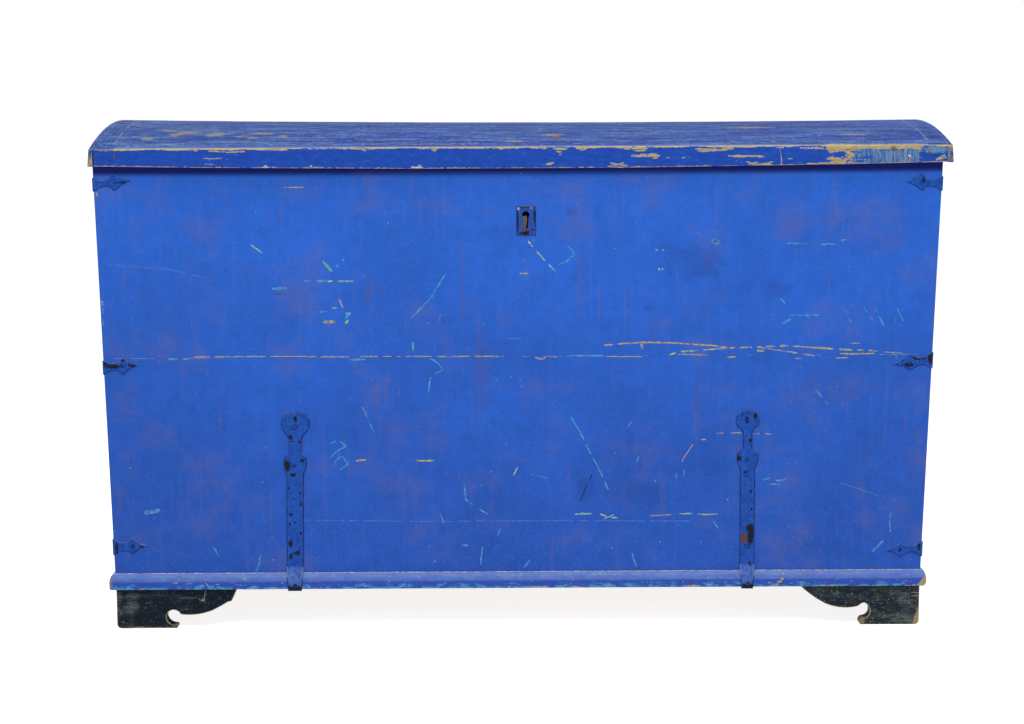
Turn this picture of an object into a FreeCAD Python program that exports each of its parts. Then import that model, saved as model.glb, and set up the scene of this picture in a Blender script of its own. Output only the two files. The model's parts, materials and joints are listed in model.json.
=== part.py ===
# Blanket chest: a dovetailed six-board chest with splayed ends, a shallow domed lid,
# a plinth moulding, bracket feet, forged straps and corner irons, a lock and a till.
# Millimetres. X runs along the chest, the front faces -Y, Z is up from the floor.

import FreeCAD, Part
import math
import os

os.makedirs("parts", exist_ok=True)

V = FreeCAD.Vector

# ---------------------------------------------------------------- driving dimensions
BODY_FRONT = -309.5      # outer face of the front boards
BODY_BACK = 311.0        # outer face of the back boards
BODY_BOTTOM = 62.0       # lower edge of the boards, on top of the feet
BODY_TOP = 714.0         # rim of the case
SEAM = 419.8             # joint between the lower and the upper boards
RIM_X = {-1: -646.5, 1: 638.1}      # ends of the case at the rim, left and right
SPLAY = {-1: 0.0307, 1: 0.0409}     # outward lean of each end, per unit of height
BOARD = 22.0             # thickness of the case boards
BOTTOM_BOARD = 20.0

TAILS_PER_BOARD = 4
TAIL_HALF_OUTER = 27.0
TAIL_HALF_INNER = 20.0

LID_HALF = 650.0         # half length of the lid over the end mouldings
LID_FRONT = -322.0
LID_BACK = 311.0
LID_UNDER = 714.5
LID_EDGE = 738.0         # height of the long top arrises of the lid
LID_END_LOW = 711.7      # lower edge of the end mouldings
LID_END_LIP = 647.4      # the left one hangs lower only outside the case
LID_HALF_LOW = 652.0     # the end mouldings flare a little towards their lower edge
LID_CROWN_LEFT = 37.2    # rise of the dome over the left clamp
LID_CROWN_MID = 29.7     # the long boards have sagged
LID_CROWN_RIGHT = 31.0
LID_BOARD = 26.0
LID_BOARD_JOINTS = (-98.0, 112.0)
RAIL = 12.0              # thickness of the front rail
RAIL_LOW_MID = 706.0     # the rail's lower edge bellies down in the middle
RAIL_LOW_END = 712.4
CLAMP_OUTER = 642.3      # end faces of the clamps
CLAMP_INNER_LEFT = -611.6
CLAMP_INNER_RIGHT = 613.3
CLAMP_TENON_LOW = 721.5  # underside of the clamp where it passes over the rail

MOULDING_TOP = 87.2
MOULDING_OUT = 8.6
MOULDING_RISE = 15.5     # height of its rounded shoulder
MOULDING_NOSE = 2.4      # rounding of its lower edge

FOOT_BOARD = 24.0
FOOT_X = {-1: -626.2, 1: 611.7}     # outer faces of the feet
FOOT_REACH = 185.4

IRON = 1.4               # thickness of the corner irons
STRAP = 2.2              # thickness of the strap irons
STRAP_UNDER = 118.0      # length of the strap under the chest
STRAP_TAPER = 2.4        # narrowing of each side of a strap down over the moulding

HINGE_X = (-402.0, 396.0)
HINGE_AXIS_Y = 318.0
HINGE_AXIS_Z = 712.5
HINGE_BARREL = 5.0
HINGE_PIN = 2.5
HINGE_LEAF = 2.4
HINGE_WIDTH = 62.0
HINGE_TONGUE = 24.0      # width of the lid leaf
HINGE_REACH = 250.0

KEY_X = 7.4
KEY_Z = 635.4
KEY_ROUND = 5.6
KEY_SLOT_BOTTOM = 614.5

TILL_WIDTH = 118.0
TILL_BOTTOM = 452.0
TILL_TOP = 580.0
TILL_BOARD = 10.0
TILL_PINTLE = 4.0

FAR = 3000.0


# ---------------------------------------------------------------- building helpers
def box(x0, x1, y0, y1, z0, z1):
    return Part.makeBox(x1 - x0, y1 - y0, z1 - z0, V(x0, y0, z0))


def polygon_xz(points, y0, y1):
    """Straight-sided outline in the front view, carried from y0 back to y1."""
    corners = [V(x, y0, z) for x, z in points]
    wire = Part.makePolygon(corners + [corners[0]])
    return Part.Face(wire).extrude(V(0, y1 - y0, 0))


def polygon_yz(points, x0, x1):
    """Straight-sided outline in the end view, carried from x0 to x1."""
    corners = [V(x0, y, z) for y, z in points]
    wire = Part.makePolygon(corners + [corners[0]])
    return Part.Face(wire).extrude(V(x1 - x0, 0, 0))


def outline_edges(steps, lift):
    """Edges of a closed outline. A step is a point for a straight run to it, or a
    pair of points for an arc through the first to the second."""
    start = lift(steps[0])
    here = start
    edges = []
    for step in steps[1:]:
        if isinstance(step[0], tuple):
            middle = lift(step[0])
            end = lift(step[1])
            edges.append(Part.Arc(here, middle, end).toShape())
        else:
            end = lift(step)
            edges.append(Part.LineSegment(here, end).toShape())
        here = end
    if here.distanceToPoint(start) > 0.001:
        edges.append(Part.LineSegment(here, start).toShape())
    return edges


def outline_xz(steps, y0, y1):
    edges = outline_edges(steps, lambda p: V(p[0], y0, p[1]))
    return Part.Face(Part.Wire(edges)).extrude(V(0, y1 - y0, 0))


def outline_yz(steps, x0, x1):
    edges = outline_edges(steps, lambda p: V(x0, p[0], p[1]))
    return Part.Face(Part.Wire(edges)).extrude(V(x1 - x0, 0, 0))


def rod(radius, start, end):
    direction = end - start
    return Part.makeCylinder(radius, direction.Length, start, direction)


def group(shapes):
    solids = []
    for shape in shapes:
        solids.extend(shape.Solids)
    return Part.makeCompound(solids)


def cut_all(shape, tools):
    near = [tool for tool in tools if tool.BoundBox.intersect(shape.BoundBox)]
    if not near:
        return shape
    return shape.cut(near)


def nail(point, outward, head=4.2, dome=1.8, shank=1.3, length=17.0):
    """Hand-forged nail: a low hammered head on the surface and a straight round shank."""
    rim = dome * 0.35
    into = outward * (-1.0 / outward.Length)
    out = into * -1.0
    stem = Part.makeCylinder(shank, length, point, into)
    edge = Part.makeCylinder(head, rim, point, out)
    crown = Part.makeCone(head, head * 0.45, dome - rim, point + out * rim, out)
    return stem.fuse([edge, crown]).removeSplitter().Solids[0]


# ---------------------------------------------------------------- the case
def end_x(side, z, inset=0.0):
    """X of an end board's face at height z; side is -1 left or +1 right."""
    slant = math.sqrt(1.0 + SPLAY[side] ** 2)
    outer = RIM_X[side] + side * SPLAY[side] * (z - BODY_TOP)
    return outer - side * inset * slant


def tail_heights(z0, z1):
    pitch = (z1 - z0) / TAILS_PER_BOARD
    return [z0 + pitch * (index + 0.5) for index in range(TAILS_PER_BOARD)]


def tail_outline(side, middle):
    low_in = middle - TAIL_HALF_INNER
    high_in = middle + TAIL_HALF_INNER
    low_out = middle - TAIL_HALF_OUTER
    high_out = middle + TAIL_HALF_OUTER
    return [
        (end_x(side, low_in, BOARD), low_in),
        (end_x(side, low_out), low_out),
        (end_x(side, high_out), high_out),
        (end_x(side, high_in, BOARD), high_in),
    ]


def long_board(z0, z1, y0, y1):
    """Front or back board with a row of dovetails on each end."""
    right = [(end_x(1, z0, BOARD), z0)]
    left = [(end_x(-1, z0, BOARD), z0)]
    for middle in tail_heights(z0, z1):
        right += tail_outline(1, middle)
        left += tail_outline(-1, middle)
    right.append((end_x(1, z1, BOARD), z1))
    left.append((end_x(-1, z1, BOARD), z1))
    return polygon_xz(right + left[::-1], y0, y1)


def end_board(side, z0, z1):
    """Leaning end board; the tails of the long boards are let into its corners."""
    outline = [
        (end_x(side, z0), z0),
        (end_x(side, z1), z1),
        (end_x(side, z1, BOARD), z1),
        (end_x(side, z0, BOARD), z0),
    ]
    board = polygon_xz(outline, BODY_FRONT, BODY_BACK)
    sockets = []
    for middle in tail_heights(z0, z1):
        tail = tail_outline(side, middle)
        sockets.append(polygon_xz(tail, BODY_FRONT, BODY_FRONT + BOARD))
        sockets.append(polygon_xz(tail, BODY_BACK - BOARD, BODY_BACK))
    return board.cut(sockets)


def keyhole(y0, y1):
    """Round hole with a slot that narrows downwards."""
    slot = polygon_xz(
        [
            (KEY_X - 4.3, KEY_Z - 2.0),
            (KEY_X - 2.4, KEY_SLOT_BOTTOM),
            (KEY_X + 2.4, KEY_SLOT_BOTTOM),
            (KEY_X + 4.3, KEY_Z - 2.0),
        ],
        y0,
        y1,
    )
    hole = rod(KEY_ROUND, V(KEY_X, y0, KEY_Z), V(KEY_X, y1, KEY_Z))
    return hole.fuse(slot).removeSplitter()


def bottom_boards():
    """Three loose-laid boards between the walls, flush with their lower edges."""
    inner_front = BODY_FRONT + BOARD
    inner_back = BODY_BACK - BOARD
    edges = (inner_front, -84.0, 104.0, inner_back)
    top = BODY_BOTTOM + BOTTOM_BOARD
    boards = []
    for y0, y1 in zip(edges, edges[1:]):
        outline = [
            (end_x(-1, BODY_BOTTOM, BOARD), BODY_BOTTOM),
            (end_x(1, BODY_BOTTOM, BOARD), BODY_BOTTOM),
            (end_x(1, top, BOARD), top),
            (end_x(-1, top, BOARD), top),
        ]
        boards.append(polygon_xz(outline, y0 + 0.3, y1 - 0.3))
    return boards


# ---------------------------------------------------------------- plinth moulding
def moulding_steps(base, outward, lean):
    """Cross-section of the plinth moulding against a face that leans with height."""
    low = BODY_BOTTOM
    shoulder = MOULDING_TOP - MOULDING_RISE

    def at(out, z):
        return (base + outward * (out + lean * (z - low)), z)

    def on_shoulder(degrees):
        angle = math.radians(degrees)
        return at(MOULDING_OUT * math.cos(angle), shoulder + MOULDING_RISE * math.sin(angle))

    nose = MOULDING_NOSE * (1.0 - math.sqrt(0.5))
    return [
        at(0, low),
        at(MOULDING_OUT - MOULDING_NOSE, low),
        (at(MOULDING_OUT - nose, low + nose), at(MOULDING_OUT, low + MOULDING_NOSE)),
        at(MOULDING_OUT, shoulder),
        (on_shoulder(22.5), on_shoulder(45.0)),
        (on_shoulder(67.5), at(0, MOULDING_TOP)),
    ]


def mitre_wedge(side, keep_front):
    """Everything on one side of the slanting mitre plane at a front corner."""
    corner_x = end_x(side, 0.0)
    y = BODY_FRONT
    reach = 900.0
    if keep_front:
        third = (corner_x - side * reach, y - reach)
    else:
        third = (corner_x + side * reach, y + reach)
    flat = [
        V(corner_x + side * reach, y - reach, 0),
        V(corner_x - side * reach, y + reach, 0),
        V(third[0], third[1], 0),
    ]
    face = Part.Face(Part.makePolygon(flat + [flat[0]]))
    return face.extrude(V(side * SPLAY[side] * 120.0, 0, 120.0))


def moulding_front():
    steps = moulding_steps(BODY_FRONT, -1, 0.0)
    left = end_x(-1, MOULDING_TOP) - 2 * MOULDING_OUT
    right = end_x(1, MOULDING_TOP) + 2 * MOULDING_OUT
    strip = outline_yz(steps, left, right)
    for side in (-1, 1):
        strip = strip.cut(mitre_wedge(side, False))
    return strip


def moulding_end(side):
    steps = moulding_steps(end_x(side, BODY_BOTTOM), side, SPLAY[side])
    strip = outline_xz(steps, BODY_FRONT - 2 * MOULDING_OUT, BODY_BACK)
    return strip.cut(mitre_wedge(side, True))


# ---------------------------------------------------------------- feet
def foot_steps_left(origin, direction):
    """Cusped bracket outline, measured inwards from the outer corner of the foot."""

    def at(inward, z):
        return (origin + direction * inward, z)

    return [
        at(0, BODY_BOTTOM),
        at(0, 7.5),
        (at(2.197, 2.197), at(7.5, 0)),
        at(92.6, 0),
        at(93.8, 2.2),
        at(93.0, 4.5),
        at(90.4, 5.2),
        (at(80.2, 9.2), at(76.2, 17.0)),
        (at(79.5, 25.5), at(86.5, 28.9)),
        (at(93.4, 27.2), at(98.2, 21.9)),
        (at(122.0, 21.4), at(149.8, 28.6)),
        (at(160.5, 34.4), at(171.0, 40.6)),
        at(177.4, 42.4),
        at(FOOT_REACH, 60.0),
        at(FOOT_REACH, BODY_BOTTOM),
    ]


def foot_steps_right(origin, direction):
    """The right-hand bracket was sawn with a blunter cusp."""

    def at(inward, z):
        return (origin + direction * inward, z)

    return [
        at(0, BODY_BOTTOM),
        at(0.6, 7.0),
        (at(2.65, 2.05), at(7.6, 0)),
        at(88.9, 0),
        (at(91.304, 0.996), at(92.3, 3.4)),
        (at(91.4, 7.2), at(88.2, 10.1)),
        at(83.8, 10.9),
        (at(78.3, 14.8), at(76.4, 21.0)),
        (at(78.6, 29.2), at(84.8, 34.3)),
        at(88.3, 33.6),
        at(95.2, 28.8),
        (at(122.0, 27.2), at(147.4, 34.6)),
        (at(165.6, 46.0), at(183.4, 61.0)),
        at(184.4, BODY_BOTTOM),
    ]


def foot_pieces(side):
    """Front bracket, two end brackets, rear piece and two glue blocks of one end."""
    outer = FOOT_X[side]
    steps = foot_steps_left if side < 0 else foot_steps_right
    front = outline_xz(steps(outer, -side), BODY_FRONT, BODY_FRONT + FOOT_BOARD)
    x0, x1 = sorted((outer, outer - side * FOOT_BOARD))
    behind = BODY_FRONT + FOOT_BOARD
    ahead = BODY_BACK - FOOT_BOARD
    end_front = outline_yz(steps(BODY_FRONT, 1), x0, x1)
    end_front = end_front.cut(box(x0 - 1, x1 + 1, BODY_FRONT - 1, behind, -1, 99))
    end_rear = outline_yz(steps(BODY_BACK, -1), x0, x1)
    end_rear = end_rear.cut(box(x0 - 1, x1 + 1, ahead, BODY_BACK + 1, -1, 99))
    r0, r1 = sorted((outer, outer - side * 128.0))
    rear = box(r0, r1, ahead, BODY_BACK, 0, BODY_BOTTOM)
    inner = outer - side * FOOT_BOARD
    blocks = []
    for y, way in ((behind, 1), (ahead, -1)):
        corners = [
            V(inner, y, 8),
            V(inner - side * 44, y, 8),
            V(inner, y + way * 44, 8),
        ]
        face = Part.Face(Part.makePolygon(corners + [corners[0]]))
        blocks.append(face.extrude(V(0, 0, BODY_BOTTOM - 8)))
    return front, end_front, end_rear, rear, blocks


# ---------------------------------------------------------------- forged irons
def offset_path(points, distance):
    """Points of an open polyline moved sideways by distance, mitred at the bends."""
    normals = []
    for (a, b), (c, d) in zip(points, points[1:]):
        length = math.hypot(c - a, d - b)
        normals.append((-(d - b) / length, (c - a) / length))
    moved = []
    for index, (a, b) in enumerate(points):
        before = normals[max(index - 1, 0)]
        after = normals[min(index, len(normals) - 1)]
        nx = before[0] + after[0]
        ny = before[1] + after[1]
        scale = 2.0 * distance / (nx * nx + ny * ny)
        moved.append((a + nx * scale, b + ny * scale))
    return moved


def strap_path():
    """Inner face of a strap in the end view, from its top end to its end under the
    chest: down the boards, out over the moulding and back under it."""
    centre_y = BODY_FRONT
    centre_z = MOULDING_TOP - MOULDING_RISE
    radius = MOULDING_OUT + 0.4
    stretch = (MOULDING_RISE + 0.4) / radius
    lift = 23.9
    first = math.acos(radius * stretch / lift)
    points = [(BODY_FRONT, 345.0), (BODY_FRONT, centre_z + lift)]
    bends = 6
    for index in range(bends + 1):
        angle = first + (math.pi / 2 - first) * index / bends
        y = centre_y - radius * math.sin(angle)
        z = centre_z + radius * stretch * math.cos(angle)
        points.append((y, z))
    points.append((centre_y - radius, BODY_BOTTOM))
    points.append((centre_y - radius + STRAP_UNDER, BODY_BOTTOM))
    return points


def strap_outline(foot_x, lean, top, head, neck, bulge, strip, scallops):
    """Front view of a strap: scalloped head, neck, bulge and a long plain strip.
    head and bulge are a half width and how far below the tip they are widest;
    neck is a half width and where it starts and ends; strip is a half width."""
    head_half, head_drop = head
    neck_half, neck_start, neck_end = neck
    bulge_half, bulge_drop = bulge
    rows = [
        (head_half - 1.6, head_drop - 8.0),
        (head_half, head_drop),
        (head_half - 1.4, head_drop + 7.0),
        (neck_half + 0.45 * (head_half - neck_half), neck_start - 5.0),
        (neck_half + 1.4, neck_start),
        (neck_half, neck_start + 4.0),
        (neck_half, neck_end - 3.0),
        (neck_half + 1.8, neck_end),
        (bulge_half - 1.4, neck_end + 4.0),
        (bulge_half, bulge_drop),
        (bulge_half - 1.6, bulge_drop + 6.0),
        (strip + 1.2, bulge_drop + 12.0),
        (strip, bulge_drop + 15.0),
        (strip, top - MOULDING_TOP),
        (strip - 1.3, top - MOULDING_TOP + 12.0),
        (strip - STRAP_TAPER, top - BODY_BOTTOM - 1.0),
        (strip - STRAP_TAPER, 320.0),
    ]
    crown = []
    half = head_half - 4.0
    step = 2.0 * half / scallops
    for index in range(scallops):
        left = -half + step * index
        drop = 5.0 * ((left + step / 2.0) / half) ** 2
        crown.append((left + step * 0.20, drop + 2.4))
        crown.append((left + step * 0.50, drop))
        crown.append((left + step * 0.80, drop + 2.4))
        if index < scallops - 1:
            crown.append((left + step, drop + 6.0))
    around = crown + rows
    around += [(-width, drop) for width, drop in rows[::-1]]
    outline = []
    for x, drop in around:
        z = top - drop
        outline.append((foot_x + lean * (z - BODY_BOTTOM) + x, z))
    return outline


def strap_iron(outline, nails):
    inner = strap_path()
    outer = offset_path(inner, -STRAP)
    bent = polygon_yz(inner + outer[::-1], -FAR, FAR)
    plate = polygon_xz(outline, -400.0, -100.0)
    return cut_all(bent.common(plate), nails)


def corner_leaf(length, flare, neck, lobe):
    """Half outline of a corner iron: flared root, waist, cusped lobe and long tip."""
    return [
        (-9.0, flare + 1.0),
        (0.0, flare),
        (5.0, flare - 2.4),
        (10.0, neck + 0.9),
        (16.0, neck),
        (21.5, neck + 0.4),
        (26.0, neck + 2.6),
        (length * 0.52, lobe - 1.2),
        (length * 0.56, lobe),
        (length * 0.62, lobe - 1.6),
        (length * 0.69, lobe * 0.62),
        (length * 0.76, lobe * 0.38),
        (length * 0.86, lobe * 0.24),
    ]


def corner_iron(side, height, sizes, lean, drop):
    """One iron nailed round a front corner. lean tilts its front leaf a little."""
    length, flare, neck, lobe = sizes
    upper = corner_leaf(length, flare, neck, lobe)
    lower = corner_leaf(length, flare, neck, lobe * drop)
    half = upper + [(length, 0.0)] + [(u, -w) for u, w in lower[::-1]]
    corner = end_x(side, height)
    front = [(corner - side * u, height + w + lean * max(u, 0)) for u, w in half]
    end = [(BODY_FRONT + u, height + w) for u, w in half]
    front_leaf = polygon_xz(front, BODY_FRONT - IRON, BODY_FRONT)
    skin = [
        (end_x(side, height - 40), height - 40),
        (end_x(side, height + 40), height + 40),
        (end_x(side, height + 40, -IRON), height + 40),
        (end_x(side, height - 40, -IRON), height - 40),
    ]
    slab = polygon_xz(skin, BODY_FRONT - IRON, BODY_FRONT + 100)
    block = polygon_yz(end, corner - 40, corner + 40)
    end_leaf = slab.common(block)
    outside = [
        (end_x(side, height - 40, -IRON), height - 40),
        (end_x(side, height + 40, -IRON), height + 40),
        (corner + side * 90, height + 40),
        (corner + side * 90, height - 40),
    ]
    front_leaf = front_leaf.cut(polygon_xz(outside, -400, 0))
    return front_leaf.fuse(end_leaf).removeSplitter()


def corner_iron_nails(side, height, length, lean):
    u = length * 0.585
    x = end_x(side, height) - side * u
    front = nail(V(x, BODY_FRONT - IRON, height + lean * u), V(0, -1, 0), head=3.4)
    tilt = math.atan(SPLAY[side])
    out = V(side * math.cos(tilt), 0, -math.sin(tilt))
    x = end_x(side, height)
    end = nail(V(x, BODY_FRONT + u, height) + out * IRON, out, head=3.4)
    return [front, end]


# ---------------------------------------------------------------- the lid
def dome_profile(x, crown, bottom, drop):
    """Closed end-view outline of the lid at x, its top lowered by drop."""
    front = V(x, LID_FRONT, LID_EDGE - drop)
    crest = V(x, (LID_FRONT + LID_BACK) / 2.0, LID_EDGE + crown - drop)
    back = V(x, LID_BACK, LID_EDGE - drop)
    edges = [
        Part.Arc(front, crest, back).toShape(),
        Part.LineSegment(back, V(x, LID_BACK, bottom)).toShape(),
        Part.LineSegment(V(x, LID_BACK, bottom), V(x, LID_FRONT, bottom)).toShape(),
        Part.LineSegment(V(x, LID_FRONT, bottom), front).toShape(),
    ]
    return Part.Wire(edges)


def crown_at(x):
    """Rise of the dome at x: highest over the left clamp, lowest right of the middle."""
    along = x / LID_HALF
    slope = (LID_CROWN_RIGHT - LID_CROWN_LEFT) / 2.0
    sag = (LID_CROWN_RIGHT + LID_CROWN_LEFT) / 2.0 - LID_CROWN_MID
    return LID_CROWN_MID + slope * along + sag * along ** 2


def dome(bottom, drop=0.0):
    """Whole lid blank, a little longer than the lid."""
    reach = LID_HALF_LOW + 3.0
    stations = (-reach, -reach / 2.0, 0.0, reach / 2.0, reach)
    wires = [dome_profile(x, crown_at(x), bottom, drop) for x in stations]
    return Part.makeLoft(wires, True, False)


def dome_height(x, y):
    """Height of the lid's top surface."""
    crown = crown_at(x)
    half = (LID_BACK - LID_FRONT) / 2.0
    radius = (half * half + crown * crown) / (2.0 * crown)
    across = y - (LID_FRONT + LID_BACK) / 2.0
    return LID_EDGE + crown - radius + math.sqrt(radius * radius - across * across)


def lid_end_strip(side):
    """Straight blank of an end moulding. The case reaches under the left one, so
    its lower edge steps up there, except in front of the case."""
    section = [(side * CLAMP_OUTER, 800)]
    if side < 0:
        section.append((side * CLAMP_OUTER, LID_UNDER))
        section.append((side * LID_END_LIP, LID_UNDER))
        section.append((side * LID_END_LIP, LID_END_LOW))
    else:
        section.append((side * CLAMP_OUTER, LID_END_LOW))
    section.append((side * LID_HALF_LOW, LID_END_LOW))
    section.append((side * LID_HALF, LID_EDGE))
    section.append((side * LID_HALF, 800))
    strip = polygon_xz(section, LID_FRONT, LID_BACK)
    if side < 0:
        front = box(
            -LID_END_LIP - 1.0, -CLAMP_OUTER, LID_FRONT, LID_FRONT + RAIL, LID_END_LOW, LID_UNDER + 1.0
        )
        strip = strip.fuse(front).removeSplitter()
    return strip


def lid_pieces():
    blank = dome(650.0)
    hollow = dome(600.0, LID_BOARD)
    shell_floor = box(-FAR, FAR, -FAR, FAR, 0, LID_UNDER)
    rail_back = LID_FRONT + RAIL
    edges = (rail_back,) + LID_BOARD_JOINTS + (LID_BACK,)
    boards = []
    for y0, y1 in zip(edges, edges[1:]):
        slab = box(CLAMP_INNER_LEFT, CLAMP_INNER_RIGHT, y0, y1, 650, 800)
        board = blank.common(slab).cut([hollow, shell_floor])
        boards.append(board)
    clamps = []
    ends = []
    for side, inner in ((-1, CLAMP_INNER_LEFT), (1, CLAMP_INNER_RIGHT)):
        x0, x1 = sorted((inner, side * CLAMP_OUTER))
        body = box(x0, x1, rail_back, LID_BACK, LID_UNDER, 800)
        nose = box(x0, x1, LID_FRONT, rail_back, CLAMP_TENON_LOW, 800)
        clamps.append(blank.common(body.fuse(nose)))
        ends.append(blank.common(lid_end_strip(side)))
    # the left end moulding has sprung away from the clamp at the front
    gap = [
        V(-CLAMP_OUTER, LID_FRONT - 1, 700),
        V(-CLAMP_OUTER - 1.9, LID_FRONT - 1, 700),
        V(-CLAMP_OUTER, LID_FRONT + 70, 700),
    ]
    wedge = Part.Face(Part.makePolygon(gap + [gap[0]])).extrude(V(0, 0, 90))
    ends[0] = ends[0].cut(wedge)
    rail_steps = [
        (-CLAMP_OUTER, 790),
        (-CLAMP_OUTER, RAIL_LOW_END),
        ((0, RAIL_LOW_MID), (CLAMP_OUTER, RAIL_LOW_END)),
        (CLAMP_OUTER, 790),
    ]
    rail = outline_xz(rail_steps, LID_FRONT, rail_back).common(blank)
    rail = rail.cut(clamps)
    return boards, clamps, ends, rail


# ---------------------------------------------------------------- hinges
def hinge_leaf_path(middle):
    """Lower face of a lid leaf: through the rim, then up along the hollow of the lid."""
    points = [(HINGE_AXIS_Y, LID_UNDER - HINGE_LEAF)]
    points.append((BODY_BACK - BOARD + 1.0, LID_UNDER - HINGE_LEAF))
    start = BODY_BACK - BOARD - 14.0
    runs = 7
    for index in range(runs + 1):
        y = start - (HINGE_REACH - 36.0) * index / runs
        lowest = min(dome_height(middle - HINGE_TONGUE, y), dome_height(middle + HINGE_TONGUE, y))
        z = lowest - LID_BOARD - HINGE_LEAF - 1.0
        points.append((y, z))
    return points


def hinge(middle):
    """Lid leaf, case leaf, pin and the nails of one strap hinge."""
    half = HINGE_TONGUE / 2.0
    axis_left = V(middle - HINGE_WIDTH / 2.0, HINGE_AXIS_Y, HINGE_AXIS_Z)
    axis_right = V(middle + HINGE_WIDTH / 2.0, HINGE_AXIS_Y, HINGE_AXIS_Z)
    lower = hinge_leaf_path(middle)
    upper = offset_path(lower, -HINGE_LEAF)
    strip = polygon_yz(lower + upper[::-1], middle - half, middle + half)
    inner_left = V(middle - half, HINGE_AXIS_Y, HINGE_AXIS_Z)
    inner_right = V(middle + half, HINGE_AXIS_Y, HINGE_AXIS_Z)
    bore = rod(HINGE_PIN + 0.06, axis_left, axis_right)
    lid_leaf = strip.fuse(rod(HINGE_BARREL, inner_left, inner_right)).cut(bore)
    end_y = lower[-1][0]
    point = [
        V(middle - half - 1, end_y - 1, 600),
        V(middle - half - 1, end_y + 26, 600),
        V(middle, end_y, 600),
        V(middle + half + 1, end_y + 26, 600),
        V(middle + half + 1, end_y - 1, 600),
    ]
    taper = Part.Face(Part.makePolygon(point + [point[0]])).extrude(V(0, 0, 200))
    lid_leaf = lid_leaf.cut(taper).removeSplitter()
    plate_top = HINGE_AXIS_Z - HINGE_BARREL - 3.0
    plate = box(
        middle - HINGE_WIDTH / 2.0,
        middle + HINGE_WIDTH / 2.0,
        BODY_BACK,
        BODY_BACK + HINGE_LEAF,
        plate_top - 128.0,
        plate_top,
    )
    gap = half + 0.5
    ears = []
    for x0, x1 in ((-HINGE_WIDTH / 2.0, -gap), (gap, HINGE_WIDTH / 2.0)):
        start = V(middle + x0, HINGE_AXIS_Y, HINGE_AXIS_Z)
        end = V(middle + x1, HINGE_AXIS_Y, HINGE_AXIS_Z)
        ears.append(rod(HINGE_BARREL, start, end))
        ears.append(
            polygon_yz(
                [
                    (BODY_BACK, plate_top - 2.0),
                    (BODY_BACK, HINGE_AXIS_Z - 3.0),
                    (HINGE_AXIS_Y - 3.0, HINGE_AXIS_Z),
                    (HINGE_AXIS_Y, HINGE_AXIS_Z - 3.6),
                    (BODY_BACK + HINGE_LEAF, plate_top - 2.0),
                ],
                middle + x0,
                middle + x1,
            )
        )
    case_leaf = plate.fuse(ears).cut(bore).removeSplitter()
    out = V(3.0, 0, 0)
    pin = rod(HINGE_PIN, axis_left - out, axis_right + out)
    case_nails = []
    for dx, drop in ((-20, 24), (20, 24), (0, 62), (-20, 104), (20, 104)):
        spot = V(middle + dx, BODY_BACK + HINGE_LEAF, plate_top - drop)
        case_nails.append(nail(spot, V(0, 1, 0)))
    lid_nails = []
    for index in (3, 5, 7, 8):
        (y0, z0), (y1, z1) = lower[index], lower[index + 1]
        spot = V(middle, (y0 + y1) / 2.0, (z0 + z1) / 2.0)
        down = V(0, z0 - z1, y1 - y0)
        down = down * (-1.0 if down.z > 0 else 1.0)
        lid_nails.append(nail(spot, down, head=3.6, length=14.0))
    return lid_leaf, case_leaf, pin, case_nails, lid_nails


# ---------------------------------------------------------------- lock
LOCK_LEFT = KEY_X - 48.0
LOCK_RIGHT = KEY_X + 48.0
LOCK_FRONT = BODY_FRONT + BOARD
LOCK_DEEP = 24.0
LOCK_LOW = 595.0
LOCK_HIGH = 702.0
LOCK_SHEET = 2.0
BOLT_LOW = 680.0
BOLT_HIGH = 690.0
BOLT_Y0 = LOCK_FRONT + 9.5
BOLT_Y1 = LOCK_FRONT + 14.5
STAPLE_Y0 = LOCK_FRONT + 6.0
STAPLE_Y1 = LOCK_FRONT + 18.0
STAPLE_LOW = 674.5


def lock_case():
    """Sheet-iron box on the inner face of the front board, open above the staple."""
    back = LOCK_FRONT + LOCK_DEEP
    shell = box(LOCK_LEFT, LOCK_RIGHT, LOCK_FRONT, back, LOCK_LOW, LOCK_HIGH)
    inside = box(
        LOCK_LEFT + LOCK_SHEET,
        LOCK_RIGHT - LOCK_SHEET,
        LOCK_FRONT + LOCK_SHEET,
        back - LOCK_SHEET,
        LOCK_LOW + LOCK_SHEET,
        LOCK_HIGH - LOCK_SHEET,
    )
    mouth = box(
        KEY_X - 7.0,
        KEY_X + 7.0,
        LOCK_FRONT + LOCK_SHEET,
        back - LOCK_SHEET,
        LOCK_HIGH - 5.0,
        LOCK_HIGH + 5.0,
    )
    hole = keyhole(LOCK_FRONT - 1.0, LOCK_FRONT + LOCK_SHEET + 1.0)
    case = shell.cut([inside, mouth, hole])
    guides = []
    for x in (LOCK_LEFT + 6.0, LOCK_LEFT + 30.0):
        guide = box(x, x + 6.0, LOCK_FRONT + 1.0, BOLT_Y1 + 3.0, BOLT_LOW - 3.5, BOLT_HIGH + 3.5)
        way = box(
            x - 1,
            x + 7,
            BOLT_Y0 - 0.35,
            BOLT_Y1 + 0.35,
            BOLT_LOW - 0.35,
            BOLT_HIGH + 0.35,
        )
        guides.append(guide.cut(way))
    pin_start = V(KEY_X, back - 1.0, KEY_Z)
    guides.append(rod(1.7, pin_start, V(KEY_X, LOCK_FRONT - 9.0, KEY_Z)))
    return case.fuse(guides).removeSplitter()


def lock_bolt():
    tip = KEY_X - 5.0
    return box(LOCK_LEFT + 3.0, tip, BOLT_Y0, BOLT_Y1, BOLT_LOW, BOLT_HIGH)


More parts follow.
